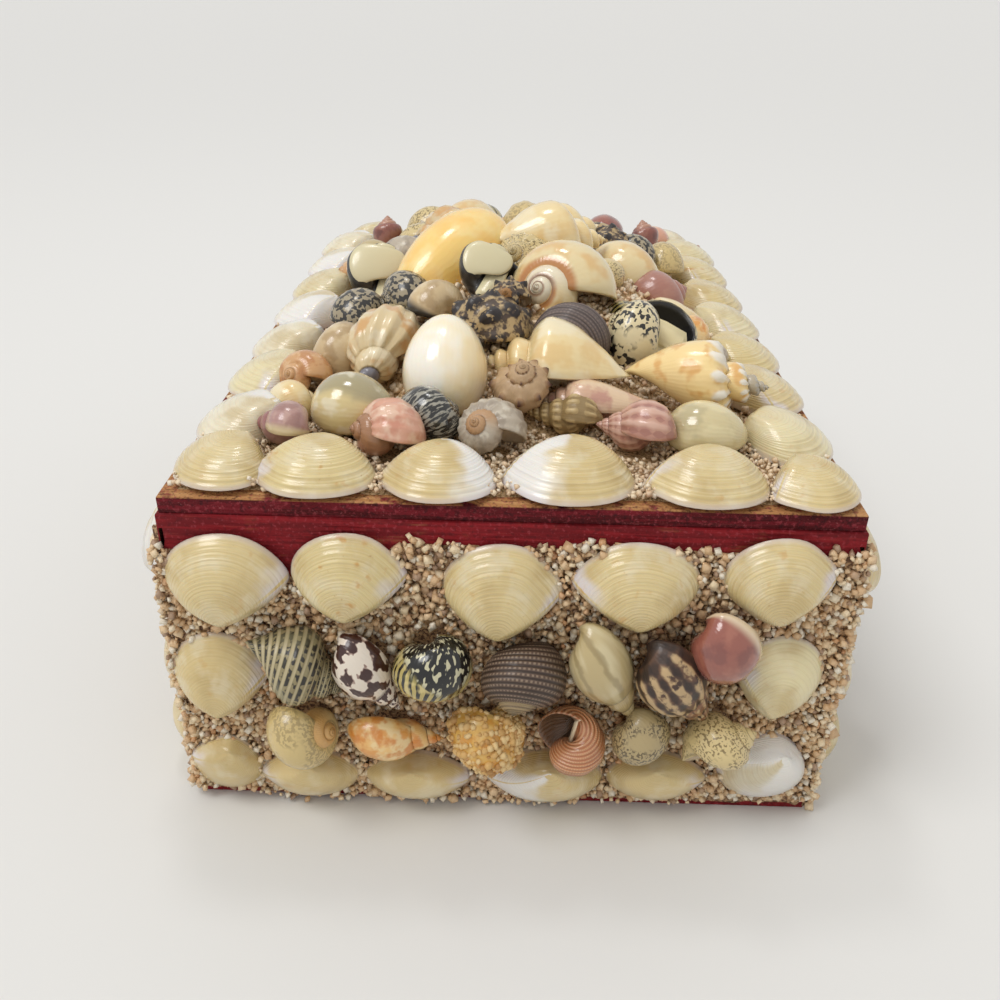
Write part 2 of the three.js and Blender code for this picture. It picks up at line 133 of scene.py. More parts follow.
def smooth_curve(points, count):
    """Evenly spaced points on a smooth curve through the given ones."""
    p = np.array(points, float)
    p = np.vstack([2 * p[0] - p[1], p, 2 * p[-1] - p[-2]])
    fine = []
    for a, b, c, d in zip(p[:-3], p[1:-2], p[2:-1], p[3:]):
        for t in np.linspace(0, 1, 16, endpoint=False):
            bend = 2 * a - 5 * b + 4 * c - d + t * (3 * (b - c) + d - a)
            fine.append(b + 0.5 * t * (c - a + t * bend))
    fine = np.array(fine + [p[-2]])
    along = np.concatenate([[0], np.cumsum(np.linalg.norm(np.diff(fine, axis=0), axis=1))])
    want = np.linspace(0, along[-1], count)
    return np.stack([np.interp(want, along, fine[:, i]) for i in range(fine.shape[1])], 1)


# --- clams ---


def clam(name, around=44, ridged=0.0, steps=(8, 23), notch=0.0):
    """One valve, one unit wide, high and thick, so that a copy is scaled to its size."""
    umbo = np.array([-0.04, -0.42])
    turn = np.linspace(0, CIRCLE, around, endpoint=False)
    across, along = np.cos(turn), -np.sin(turn)
    hinge = along < 0
    side = np.sign(across) * np.abs(across) ** np.where(hinge, 1.3, 1) / 2
    end = np.sign(along) * np.abs(along) ** np.where(hinge, 1.1, 1) / 2
    end = end * (1 - 0.3 * np.maximum(0, across) ** 3)
    end -= notch * np.exp(-(((across - 0.8) / 0.2) ** 2)) * (along > 0)
    edge = np.stack([side, end], 1)
    inner = np.linspace(0.02, 0.55, steps[0])
    t = np.concatenate([inner, np.linspace(0.57, 1, steps[1])])[::-1]
    rise = (1 - t**2) ** 0.85 * (1 - 0.27 * (1 - t) ** 2)
    rise /= rise.max()
    beak = rise[-1] * (1 - t**2) ** 0.6
    ridge = np.sin(CIRCLE * (17 * t + 0.4 * np.sin(11 * t))) * np.clip((t - 0.3) / 0.5, 0, 1)
    stops = 0.5 * np.tanh(30 * (t - 0.66)) + 0.4 * np.tanh(40 * (t - 0.86))
    lift = ridged * 0.019 * ridge - 0.008 * stops
    front = np.clip(along + 0.55, 0, 1) ** 0.7
    rings, marks = [], []

    def ring(flat, height, wall, relief):
        rings.append(np.column_stack([flat, height]))
        marks.append(np.column_stack([turn / CIRCLE, np.full(around, wall), np.full(around, relief)]))

    for shrink, low in ((0.7, 0.12), (0.94, 0.01), (0.995, -0.012)):
        ring(umbo + (edge - umbo) * shrink, np.full(around, low), 1.05, 0)
    for k, share in enumerate(t):
        flat = umbo + (edge - umbo) * (share + 0.2 * lift[k] * front)[:, None]
        height = rise[k] * front + beak[k] * (1 - front) + lift[k] * (1 - 0.3 * share) * front
        ring(flat, np.maximum(height, 0), share, ridge[k])
    return swept(name, np.array(rings), np.array(marks))


# --- coiled shells ---

# How much a whorl grows in a turn, how many whorls are made, and the outer wall of the last one at
# the mouth: distance from the axis and below the apex, as shares of the shell's length.
COILS = {
    "moon": (2.4, 4, [
        (0.25, 0.15), (0.37, 0.18), (0.48, 0.27), (0.55, 0.41), (0.56, 0.55), (0.5, 0.71), (0.38, 0.84),
        (0.22, 0.9), (0.05, 0.86),
    ]),
    "nerite": (2.3, 4, [
        (0.27, 0.14), (0.4, 0.18), (0.5, 0.27), (0.555, 0.4), (0.555, 0.54), (0.5, 0.69), (0.39, 0.82),
        (0.23, 0.88), (0.05, 0.85),
    ]),
    "round_snail": (2.2, 4.5, [
        (0.22, 0.22), (0.33, 0.26), (0.42, 0.35), (0.475, 0.48), (0.475, 0.61), (0.42, 0.76),
        (0.32, 0.88), (0.19, 0.93), (0.05, 0.9),
    ]),
    "periwinkle": (2.1, 5, [
        (0.2, 0.31), (0.27, 0.38), (0.355, 0.48), (0.395, 0.6), (0.39, 0.7), (0.345, 0.83),
        (0.26, 0.91), (0.15, 0.95), (0.04, 0.93),
    ]),
    "turban": (2.2, 5, [
        (0.23, 0.24), (0.33, 0.3), (0.43, 0.41), (0.47, 0.55), (0.455, 0.65), (0.39, 0.79),
        (0.29, 0.9), (0.14, 0.95), (0.02, 0.94),
    ]),
    "dogwhelk": (2.15, 5, [
        (0.18, 0.3), (0.26, 0.35), (0.345, 0.43), (0.38, 0.54), (0.36, 0.64), (0.28, 0.77),
        (0.17, 0.87), (0.1, 0.94), (0.05, 1),
    ]),
    "whelk": (2, 5.5, [
        (0.16, 0.3), (0.25, 0.34), (0.31, 0.42), (0.315, 0.5), (0.27, 0.62), (0.18, 0.76),
        (0.115, 0.86), (0.07, 0.94), (0.03, 1),
    ]),
    "cone": (1.7, 6, [
        (0.2, 0.21), (0.26, 0.24), (0.295, 0.31), (0.29, 0.4), (0.25, 0.54), (0.19, 0.68),
        (0.12, 0.84), (0.07, 0.94), (0.03, 1),
    ]),
    "conch": (2, 5.5, [
        (0.14, 0.34), (0.22, 0.38), (0.285, 0.46), (0.285, 0.55), (0.25, 0.68), (0.19, 0.79),
        (0.13, 0.89), (0.08, 0.95), (0.03, 1),
    ]),
    "cerith": (1.5, 8, [
        (0.13, 0.5), (0.175, 0.56), (0.205, 0.65), (0.205, 0.74), (0.19, 0.82), (0.13, 0.92),
        (0.08, 0.97), (0.02, 1),
    ]),
}
# The rings inside the mouth, from deep within it to its lip: age, size and mark.
LIP = 0.86
MOUTH = [
    (0.2, 0.3, -1), (0.14, 0.55, -0.9), (0.07, 0.75, -0.8), (0.02, LIP, -0.4), (-0.006, 0.5 + LIP / 2, -0.1),
]
SPREAD = 0.8  # how much wider apart the rings get with age
INNER = 4  # points on the inner wall of a whorl


def knobs(count, row, height, reach=0.06, sharp=2):
    """A row of knobs on each whorl."""

    def relief(t, v):
        crest = height * (0.5 + 0.5 * np.cos(CIRCLE * count * t)) ** sharp
        return crest * np.exp(-(((v - row) / reach) ** 2))

    return relief


def ribs(count, height, top=0.05, foot=0.7, sharp=1.5):
    """Ribs down each whorl, fading at the suture and at the base."""

    def relief(t, v):
        crest = height * (0.5 + 0.5 * np.cos(CIRCLE * count * t + 1.2 * v)) ** sharp
        return crest * np.clip((v - top + 0.1) / 0.1, 0, 1) * np.clip((foot - v) / 0.2, 0, 1)

    return relief


def cords(count, height, top=0.0, foot=0.85):
    """Cords that run round the shell with the whorl."""
    return lambda t, v: height * np.cos(CIRCLE * count * v) * ((v > top) & (v < foot))


def coiled(name, kind=None, around=22, steps=34, reliefs=(), flare=0.0, deck=0.0, flat=False):
    """A shell of length one, its apex at the origin on +y and the lip of its mouth on +x.

    A deck is a shelf that closes part of the mouth, and a flat shell is worn level beside it.
    """
    growth, turns, wall = COILS[kind or name]
    outer = smooth_curve(wall, around - INNER)
    inner = np.array([[0.03, wall[-1][1] * 0.97], [0.03, 0.75], [0.03, 0.5], [0.06, wall[0][1] * 1.3]])
    section = np.vstack([outer, inner])
    slope = np.gradient(section, axis=0)
    out = np.stack([slope[:, 1], -slope[:, 0]], 1)
    out /= np.linalg.norm(out, axis=1)[:, None]
    out[around - INNER :] = 0
    v = np.concatenate([np.linspace(0, 0.9, around - INNER), np.linspace(0.92, 0.99, INNER)])
    middle = np.array([0.62 * section[:, 0].max(), 0.5 * (wall[1][1] + wall[-3][1])])
    oldest = math.log(1 + SPREAD * turns)
    along = np.exp(np.linspace(0, oldest, int(steps * oldest / SPREAD)))
    ages = MOUTH + [(t, 1, t) for t in (along - 1) / SPREAD]
    rings, marks = [], []
    for age, shrink, mark in ages:
        raised = sum((r(np.full(around, age), v) for r in reliefs), np.zeros(around))
        raised = raised * min(1, 0.3 + max(age, 0) * 8) + flare * math.exp(-max(age, 0) * 25)
        profile = middle + (section + out * raised[:, None] - middle) * shrink
        if mark < 0:
            profile[around - INNER :, 0] += deck * np.array([0.6, 1, 1, 0.7])
        size = growth ** -(age * age / (age + 0.3))
        angle = CIRCLE * age
        far, down = profile.T
        rings.append(size * np.stack([far * math.cos(angle), -down, -far * math.sin(angle)], 1))
        marks.append(np.stack([np.full(around, mark), v, raised], 1))
    rings, marks = np.array(rings), np.array(marks)
    if flat:
        proud = (rings[..., 2] > 0.06) & (marks[..., 0] > 0.4)
        rings[..., 2] = np.where(proud, 0.06 + 0.2 * (rings[..., 2] - 0.06), rings[..., 2])
        marks[proud, :2] = 0, 0.95
    return swept(name, rings, marks)


def cowrie(name, around=28, sections=22):
    """An egg of length and width one, its blunt end at +y, flattened below, with a slit of a mouth."""
    along = -0.5 * np.cos(np.linspace(0.06, math.pi - 0.06, sections))
    turn = np.linspace(0, CIRCLE, around, endpoint=False)
    rings, marks = [], []
    for a in along:
        across = 0.5 * math.sqrt(1 - (2 * a) ** 2) * (1 + 0.25 * a)
        up = np.sin(turn)
        slit = 1 - 0.25 * np.exp(-(((turn - 1.5 * math.pi) / 0.16) ** 2))
        height = across * up * np.where(up > 0, 1, 0.55) * slit
        rings.append(np.stack([across * np.cos(turn), np.full(around, a), height], 1))
        marks.append(np.stack([turn / CIRCLE, np.full(around, a + 0.5), up], 1))
    return swept(name, np.array(rings), np.array(marks))


TEMPLATES = {
    "clam": clam("clam", ridged=0.25),
    "ridged_clam": clam("ridged_clam", ridged=1.0, notch=0.03),
    "plain_clam": clam("plain_clam", around=32, ridged=0.4, steps=(7, 14)),
    "cowrie": cowrie("cowrie"),
}
STAR_KNOBS = [
    knobs(9, 0.24, 0.14, 0.05, 2.5), knobs(9, 0.45, 0.06, 0.05, 2), knobs(18, 0.08, 0.03, 0.04, 1),
]
WHELK_KNOBS = [
    knobs(9, 0.17, 0.08, 0.07, 1.4), knobs(9, 0.36, 0.065, 0.055, 1.4), knobs(9, 0.54, 0.05, 0.05, 1.4),
]
CONCH_BEADS = [knobs(11, 0.15, 0.055, 0.07), knobs(11, 0.02, 0.03, 0.04)]
CERITH_BEADS = [knobs(13, 0.25, 0.03, 0.08), knobs(13, 0.6, 0.025, 0.08)]
COILED = {
    "moon": dict(),
    "nerite": dict(around=24),
    "open_nerite": dict(kind="nerite", around=26, steps=40, deck=0.26),
    "flat_nerite": dict(kind="nerite", around=26, deck=0.24, flat=True),
    "corded_nerite": dict(kind="nerite", around=50, steps=40, reliefs=[cords(16, 0.008)]),
    "periwinkle": dict(),
    "ribbed_periwinkle": dict(
        kind="periwinkle", around=30, steps=68, reliefs=[ribs(13, 0.025), cords(7, 0.004)]
    ),
    "round_snail": dict(),
    "ribbed_snail": dict(kind="round_snail", around=24, steps=72, reliefs=[ribs(17, 0.03), cords(5, 0.006)]),
    "turban": dict(reliefs=[cords(6, 0.008)]),
    "fine_turban": dict(
        kind="turban", around=44, steps=44, reliefs=[cords(15, 0.007), ribs(22, 0.008)], flare=0.02
    ),
    "star_turban": dict(kind="turban", steps=66, reliefs=[*STAR_KNOBS, cords(8, 0.006)]),
    "dogwhelk": dict(around=44, steps=40, reliefs=[cords(13, 0.006)], flare=0.015),
    "knobbed_dogwhelk": dict(kind="dogwhelk", around=26, steps=66, reliefs=[*WHELK_KNOBS, cords(9, 0.005)]),
    "ribbed_dogwhelk": dict(
        kind="dogwhelk", around=26, steps=72, reliefs=[ribs(13, 0.03, sharp=1), cords(6, 0.004)]
    ),
    "whelk": dict(steps=62, reliefs=[ribs(12, 0.025), cords(7, 0.003)]),
    "cone": dict(),
    "conch": dict(around=26, steps=40, flare=0.02),
    "beaded_conch": dict(kind="conch", around=26, steps=70, reliefs=CONCH_BEADS),
    "cerith": dict(around=20, steps=84, reliefs=[*CERITH_BEADS, cords(6, 0.004)]),
}
TEMPLATES.update({name: coiled(name, **how) for name, how in COILED.items()})

# --- setting down ---


def on_face(points, face):
    """Millimetres in a face's own axes to metres in the box's frame."""
    axes, origin = FACES[face]
    return (points @ np.array(axes, float).T + np.array(origin, float)) * MM


def copy_of(template, name, finish):
    piece = template.copy()
    piece.data = template.data.copy()
    piece.name = name
    bpy.context.collection.objects.link(piece)
    piece.data.materials.clear()
    piece.data.materials.append(finish)
    return piece


PLACED = {}  # each shell's points on its face
FOOTPRINTS = {face: [] for face in FACES}  # middle, half sizes and lowest point of each shell


def settle(piece, size, face, at, turn, tilt, roll, mirror, flat):
    """Sizes a shell, turns it and sets it down with its middle at a place on a face."""
    points = corners(piece.data) * np.array(size) * ([-1, 1, 1] if mirror else [1, 1, 1])
    for angle, axis in ((roll, "Y"), (tilt, "X"), (turn, "Z")):
        euler = Euler([math.radians(angle) if axis == a else 0 for a in "XYZ"])
        points = points @ np.array(euler.to_matrix()).T
    low, high = points.min(0), points.max(0)
    points -= (low + high) / 2
    rise = at[2] if len(at) > 2 else 0
    points += [at[0], at[1], max(rise, SAND + GLUE + (high[2] - low[2]) / 2)]
    FOOTPRINTS[face].append((*at[:2], *(high - low)[:2] / 2, points[:, 2].min(), flat))
    PLACED[piece.name] = points
    if mirror:
        piece.data.flip_normals()
    move_corners(piece.data, on_face(points, face))
    return piece


def joined(pieces, name):
    start_fresh()
    for piece in pieces:
        piece.select_set(True)
    bpy.context.view_layer.objects.active = pieces[0]
    bpy.ops.object.join()
    pieces[0].name = name
    return pieces[0]


def hand_over(piece, node):
    """The piece rides with the box and stands for one of its solids."""
    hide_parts(node)
    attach(piece, "root")

# --- finishes ---


def tint(code):
    """A colour of the linear kind from its usual hexadecimal code."""
    values = [int(code[i : i + 2], 16) / 255 for i in (0, 2, 4)]
    return [v / 12.92 if v < 0.04045 else ((v + 0.055) / 1.055) ** 2.4 for v in values] + [1]


class Finish:
    """A material: a base colour, colours laid over it where a mask says, and relief."""

    def __init__(self, name, colour, roughness=0.3, varnish=0.5, glow=0.0):
        self.material = bpy.data.materials.new(name)
        self.material.use_nodes = True
        self.nodes = self.material.node_tree.nodes
        self.links = self.material.node_tree.links
        self.shader = self.nodes["Principled BSDF"]
        self.shader.inputs["Roughness"].default_value = roughness
        self.shader.inputs["Coat Weight"].default_value = varnish
        self.shader.inputs["Coat Roughness"].default_value = 0.12
        self.shader.inputs["Subsurface Weight"].default_value = glow
        self.shader.inputs["Subsurface Radius"].default_value = (0.002, 0.0014, 0.0009)
        self.shader.inputs["Subsurface Scale"].default_value = 1.0
        self.colour = tint(colour)
        self.height = None
        place = self.nodes.new("ShaderNodeTexCoord").outputs["Object"]
        self.place = self.vector("SCALE", place, scale=1 / MM)
        mark = self.nodes.new("ShaderNodeAttribute")
        mark.attribute_name = "growth"
        parts = self.node("ShaderNodeSeparateXYZ", mark.outputs["Vector"])
        self.age, self.wall, self.raised = parts.outputs

    def node(self, kind, *values, **settings):
        made = self.nodes.new(kind)
        for key, value in settings.items():
            setattr(made, key, value)
        for socket, value in zip(made.inputs, values):
            self.feed(socket, value)
        return made

    def feed(self, socket, value):
        if isinstance(value, bpy.types.NodeSocket):
            self.links.new(value, socket)
        elif value is not None:
            socket.default_value = value

    def vector(self, operation, value, other=None, scale=None):
        made = self.node("ShaderNodeVectorMath", value, other, operation=operation)
        if scale is not None:
            made.inputs["Scale"].default_value = scale
        return made.outputs[0]

    def math(self, operation, *values):
        return self.node("ShaderNodeMath", *values, operation=operation).outputs[0]

    def noise(self, size, where=None, detail=2.0, seed=0.0):
        """Noise with blotches of that many millimetres, or of that share of a growth space."""
        where = self.vector("ADD", where or self.place, (seed, seed * 1.7, -seed))
        made = self.node("ShaderNodeTexNoise", where)
        made.inputs["Scale"].default_value = 1 / size
        made.inputs["Detail"].default_value = detail
        return made.outputs[0]

    def growth(self, age, wall):
        """The shell's own growth space: turns and place along the wall, each stretched."""
        turns, along = self.math("MULTIPLY", self.age, age), self.math("MULTIPLY", self.wall, wall)
        return self.node("ShaderNodeCombineXYZ", turns, along).outputs[0]

    def lines(self, value, count, shift=None, amount=0.0):
        """Even lines, from 0 to 1, along a value, made uneven by a shift."""
        phase = self.math("MULTIPLY", value, count * CIRCLE)
        if shift is not None:
            phase = self.math("ADD", phase, self.math("MULTIPLY", shift, amount * CIRCLE))
        return self.math("MULTIPLY_ADD", self.math("SINE", phase), 0.5, 0.5)

    def step(self, value, low, high):
        """0 below low and 1 above high; the other way round if low is above high."""
        ends = min(low, high), max(low, high)
        made = self.node("ShaderNodeMapRange", value, *ends, interpolation_type="SMOOTHSTEP")
        if low > high:
            made.inputs[3].default_value = 1
            made.inputs[4].default_value = 0
        return made.outputs[0]

    def both(self, a, b):
        return self.math("MULTIPLY", a, b)

    def over(self, colour, mask, strength=1.0):
        if strength != 1:
            mask = self.math("MULTIPLY", mask, strength)
        mix = self.nodes.new("ShaderNodeMix")
        mix.data_type = "RGBA"
        self.feed(mix.inputs[0], mask)
        self.feed(mix.inputs[6], self.colour)
        self.feed(mix.inputs[7], tint(colour))
        self.colour = mix.outputs[2]

    def blotches(self, colour, size, low, high, strength=1.0, **how):
        """Blotches of a size in millimetres, with an edge as soft as low and high are far apart."""
        self.over(colour, self.step(self.noise(size, **how), low, high), strength)

    def emboss(self, height, depth):
        """Relief of that many millimetres."""
        height = self.math("MULTIPLY", height, depth * MM)
        self.height = height if self.height is None else self.math("ADD", self.height, height)

    def made(self):
        self.feed(self.shader.inputs["Base Color"], self.colour)
        if self.height is not None:
            bump = self.nodes.new("ShaderNodeBump")
            bump.inputs["Distance"].default_value = 1.0
            self.feed(bump.inputs["Height"], self.height)
            self.feed(self.shader.inputs["Normal"], bump.outputs[0])
        return self.material


def clam_finish(name, colour="d5be86", stains=0.5, white=None, lines=0.5, tip=0.8):
    """Cream and waxy: clouded, stained, finely lined, and paler at its edge and at its narrow end."""
    f = Finish(name, colour, roughness=0.3, varnish=0.6, glow=0.2)
    wave = f.noise(6)
    f.blotches("bfa56c", 6, 0.42, 0.7, 0.6, seed=3)
    f.blotches("e4d8b8", 4, 0.45, 0.7, 0.55, seed=6, detail=3)
    f.over("cdb57c", f.step(f.wall, 0.5, 0.1), 0.4)
    f.over("b0935a", f.step(f.lines(f.wall, 14, wave, 0.5), 0.86, 1.0), 0.3 * lines)
    f.over("ece2c6", f.step(f.lines(f.wall, 31, wave, 0.6), 0.6, 1.0), 0.2 * lines)
    f.blotches("c78f3c", 2.6, 0.62, 0.76, 0.8 * stains, seed=9)
    f.blotches("ad7a3a", 0.8, 0.7, 0.78, 0.5 * stains, seed=12)
    blur = f.math("MULTIPLY_ADD", f.noise(5, detail=1.5), 0.24, -0.12)
    blur = f.math("ADD", f.age, blur)
    if white:
        start, end = white
        patch = f.both(f.step(blur, start - 0.05, start + 0.07), f.step(blur, end + 0.07, end - 0.05))
        if start < 0:
            patch = f.math("MAXIMUM", patch, f.step(blur, 0.95 + start, 1.07 + start))
        f.over("eae7e2", patch, 0.92)
    ends = f.math("ADD", f.step(blur, 0.1, 0.0), f.step(blur, 0.9, 0.98))
    f.over("ddd6da", f.both(ends, f.step(f.wall, 0.5, 0.85)), tip)
    f.over("cdbfc6", f.step(f.wall, 0.94, 1.0), 0.5)
    f.emboss(f.lines(f.wall, 44, wave, 0.7), 0.03 * lines)
    f.emboss(f.lines(f.wall, 24, wave, 0.4), 0.1 * lines)
    f.emboss(f.noise(1.2), 0.02)
    return f.made()


def grain_finish(name, pale=0.0):
    """Coral sand, each grain of its own tone."""
    f = Finish(name, "d9b58a", roughness=0.5, varnish=0.15)
    f.over("ac8e74", f.step(f.age, 0.12, 0.06))
    f.over("e6c79e", f.step(f.age, 0.3, 0.4))
    f.over("efd9b4", f.step(f.age, 0.5, 0.6))
    f.over("eee4d0", f.step(f.age, 0.8, 0.87))
    f.over("cf9460", f.both(f.step(f.wall, 0.93, 0.95), f.step(f.age, 0.84, 0.8)), 0.6)
    f.blotches("a47d58", 0.45, 0.52, 0.75, 0.4, seed=2, detail=3)
    if pale:
        f.over("f2e0c6", f.noise(3), pale)
    f.emboss(f.noise(0.35, detail=3), 0.1)
    return f.made()


def bed_finish(name, light, dark):
    """The glue and dust that the sand is bedded in, painted darker than the grains as the shade in the gaps
    between them.
    """
    f = Finish(name, "d9b58a", roughness=0.75, varnish=0.0)
    f.over(light, f.noise(1.0))
    f.blotches(dark, 0.5, 0.45, 0.6, seed=4)
    f.emboss(f.noise(0.6, detail=4), 0.5)
    return f.made()


def crust_finish(name):
    """Yellow sand grown onto a shell."""
    f = Finish(name, "d2a868", roughness=0.6, varnish=0.1)
    f.over("e3c48c", f.step(f.age, 0.4, 0.6))
    f.over("b98a50", f.step(f.age, 0.25, 0.15))
    f.emboss(f.noise(0.35, detail=3), 0.1)
    return f.made()


GRAIN_ALONG_X, GRAIN_ALONG_Y = (0.06, 1, 1), (1, 0.06, 1)


def wood_finish(name, colour, streak, pale, stretch, worn=0.0, rough=0.0, bare=None):
    """Stained softwood: streaks along its grain, dark pores, pale dust, bare fibres where it is worn,
    and unstained above the height given as bare."""
    f = Finish(name, colour, roughness=0.7, varnish=0.0)
    f.shader.inputs["Specular IOR Level"].default_value = 0.25
    grain = f.vector("MULTIPLY", f.place, stretch)
    f.blotches(streak, 0.9, 0.4, 0.62, where=grain, detail=4)
    f.blotches(pale, 0.5, 0.6, 0.78, 0.4, where=grain, detail=3, seed=7)
    if worn:
        fibres = f.step(f.noise(0.7, grain, 4, seed=2), 0.42, 0.6)
        f.over("8a4a30", f.both(f.step(f.noise(7, seed=5), 0.56, 0.68), fibres), worn)
    if bare:
        up = f.node("ShaderNodeSeparateXYZ", f.place).outputs[2]
        patches = f.step(f.noise(3, detail=3, seed=8), 0.7, 0.5)
        unstained = f.both(f.step(up, bare - 0.25, bare - 0.05), patches)
        f.over("b5804e", unstained)
        f.over("cb9a66", f.both(unstained, f.step(f.noise(0.8, grain, 4, seed=1), 0.45, 0.65)), 0.8)
    f.blotches("380810", 0.8, 0.52, 0.66, 0.35 + rough, detail=5, seed=13)
    f.blotches("a04048", 0.7, 0.54, 0.68, 0.5, detail=5, seed=12)
    f.blotches("b4686a", 0.35, 0.62, 0.76, 0.1 + rough, detail=2, seed=11)
    f.emboss(f.noise(0.7, grain, 5, seed=3), 0.3 + rough)
    f.emboss(f.noise(0.4, detail=5), 0.08 + rough)
    return f.made()


def shell_finish(
    name, colour, layers, roughness=0.28, varnish=0.5, mouth="d9c3a2", glow=0.05, grit=0.02, deck=None
):
    """A coiled shell: its colour, the layers laid over it, growth lines, the inside of its mouth, and painted
    shade along the sutures and deep within the mouth.
    """
    f = Finish(name, colour, roughness, varnish, glow)
    layers(f)
    # Painted shade along the suture, the crease where each older whorl meets the next.
    f.over("5e4630", f.both(f.step(f.wall, 0.045, 0.0), f.step(f.age, 0.3, 0.7)), 0.5)
    f.over(mouth, f.step(f.age, -0.02, -0.2))
    if deck:
        f.over(deck, f.both(f.step(f.wall, 0.88, 0.91), f.step(f.age, 0.03, -0.01)))
    # Painted shade: the deepest rings inside the mouth are darkened.
    f.over("3a2a20", f.step(f.age, -0.9, -1.0))
    f.emboss(f.lines(f.age, 45, f.noise(3), 1.2), 0.015)
    f.emboss(f.noise(0.7), grit)
    return f.made()


# The layers of the coiled shells' finishes.


def dashes(f):
    rows = f.step(f.lines(f.wall, 13), 0.35, 0.65)
    f.over("cfc09a", f.step(f.lines(f.wall, 13), 0.45, 0.1), 0.6)
    f.over("2a261f", f.both(rows, f.step(f.noise(1, f.growth(34, 13), 1), 0.44, 0.52)))
    f.blotches("8f8a68", 4, 0.5, 0.7, 0.4)
    f.emboss(f.lines(f.wall, 13), 0.12)


def flames(f):
    blot = f.noise(1, f.growth(15, 6), 2, seed=2)
    f.over("3a1712", f.step(blot, 0.5, 0.53))
    f.over("7a4234", f.both(f.step(blot, 0.49, 0.505), f.step(blot, 0.53, 0.51)), 0.6)


def stripes(f):
    bend = f.noise(1, f.growth(3, 4), 2)
    thin = f.lines(f.age, 30, bend, 1.6)
    f.over("15140f", f.step(thin, 0.42, 0.6))
    f.blotches("8d8a4e", 2.4, 0.55, 0.7, 0.3)
    dark = f.step(f.noise(1, f.growth(3.2, 1.2), 1, seed=5), 0.5, 0.58)
    f.over("131312", dark)
    f.over("c9c3a2", f.both(dark, f.step(f.noise(1, f.growth(50, 12), 1), 0.55, 0.61)))
    yellow = f.step(f.noise(1, f.growth(16, 5), 2, seed=8), 0.48, 0.56)
    f.over("d2c084", f.both(yellow, f.step(dark, 0.6, 0.3)), 0.8)


def fine_cords(light, dark, count, apex=None):
    def layers(f):
        f.over(dark, f.step(f.lines(f.wall, count), 0.4, 0.15))
        beads = f.step(f.lines(f.age, 60, f.noise(2), 0.5), 0.3, 0.7)
        f.over(light, f.both(f.step(f.lines(f.wall, count), 0.5, 0.9), beads), 0.6)
        f.blotches(dark, 5, 0.5, 0.75, 0.3)
        if apex:
            f.over(apex, f.step(f.age, 0.95, 1.15))
            f.over(dark, f.both(f.step(f.age, 0.95, 1.15), f.step(f.lines(f.wall, 6), 0.3, 0.1)), 0.5)
        f.emboss(f.lines(f.wall, count), 0.15)

    return layers


def clouded(*tones, size=3.0, apex=None, lip=None, spire=0.9):
    """Soft blotches of several tones, an apex and a lip of their own colour."""

    def layers(f):
        for k, tone in enumerate(tones):
            f.blotches(tone, size, 0.48, 0.62, 0.8, seed=3.3 * k, detail=3)
        if apex:
            f.over(apex, f.step(f.age, spire, spire + 0.25))
        if lip:
            f.over(lip, f.step(f.age, 0.07, 0.02))

    return layers


def raised_tips(tip, hollow, low, high, cloud=None):
    """Raised parts of one colour, the hollows between them of another."""

    def layers(f):
        if cloud:
            f.blotches(cloud, 3, 0.45, 0.65, 0.8)
        f.over(hollow, f.step(f.raised, low, low / 2), 0.7)
        f.over(tip, f.step(f.raised, low, high))

    return layers


def broken_ribs(f):
    """Tan ribs that come and go on a dark brown shell with a rusty spire."""
    f.blotches("6e4c36", 2.5, 0.45, 0.65, 0.8)
    crest = f.both(f.step(f.raised, 0.004, 0.014), f.step(f.noise(1.6, seed=4, detail=3), 0.36, 0.5))
    f.over("c2a57a", crest, 0.95)
    f.over("241914", f.step(f.raised, 0.006, 0.0), 0.75)
    f.over("8d5f3c", f.both(f.step(f.age, 0.8, 1.1), f.step(f.noise(1.2, seed=6), 0.4, 0.6)), 0.8)


def dark_lumps(f):
    """Brown-black lumps with cream flecks in the hollows and a tan apex."""
    f.blotches("4c3c30", 1.6, 0.44, 0.56, seed=3, detail=3)
    f.over("241c1c", f.both(f.step(f.raised, 0.008, 0.02), f.step(f.noise(1.2, seed=5), 0.36, 0.46)))
    f.over("a8773f", f.step(f.age, 1.2, 1.6), 0.9)


def streaks(colour, count, cover):
    """Fine broken streaks along the growth lines."""
    return lambda f: f.over(colour, f.step(f.noise(1, f.growth(count, 7), 3), cover, cover + 0.08), 0.85)


def folds(light, dark, apex):
    """Smooth, with pale and dark growth folds, and whorls that show by painted shade along their sutures."""

    def layers(f):
        f.over(light, f.step(f.noise(1, f.growth(9, 1.5), 2), 0.45, 0.6), 0.8)
        f.over(dark, f.step(f.lines(f.age, 7, f.noise(3), 0.5), 0.75, 1.0), 0.6)
        f.over(dark, f.step(f.wall, 0.6, 0.95), 0.4)
        f.over(apex, f.step(f.age, 0.8, 1.1), 0.6)
        # Painted shade along the sutures of the older whorls.
        f.over(dark, f.both(f.step(f.wall, 0.1, 0.02), f.step(f.age, 0.5, 0.8)), 0.9)

    return layers


def speckles(colour, count, cover, patchy=True, apex=None):
    def layers(f):
        spots = f.step(f.noise(1, f.growth(count, count * 0.45), 1), cover, cover + 0.04)
        if patchy:
            spots = f.both(spots, f.step(f.noise(5, seed=4), 0.4, 0.5))
        f.over(colour, spots)
        if apex:
            f.over(apex, f.step(f.age, 0.75, 1.0))

    return layers


def moon_whorls(f):
    f.blotches("d9a75c", 6, 0.45, 0.65, 0.6, seed=1)
    f.over("bb7434", f.step(f.wall, 0.08, 0.03), 0.85)
    f.over("a06a38", f.step(f.math("ADD", f.wall, f.math("MULTIPLY", f.noise(3), 0.2)), 0.66, 0.9), 0.6)
    f.over("e9dcc0", f.step(f.age, 0.95, 1.1))
    f.over("9a6a48", f.both(f.step(f.age, 0.95, 1.1), f.step(f.wall, 0.09, 0.02)), 0.8)


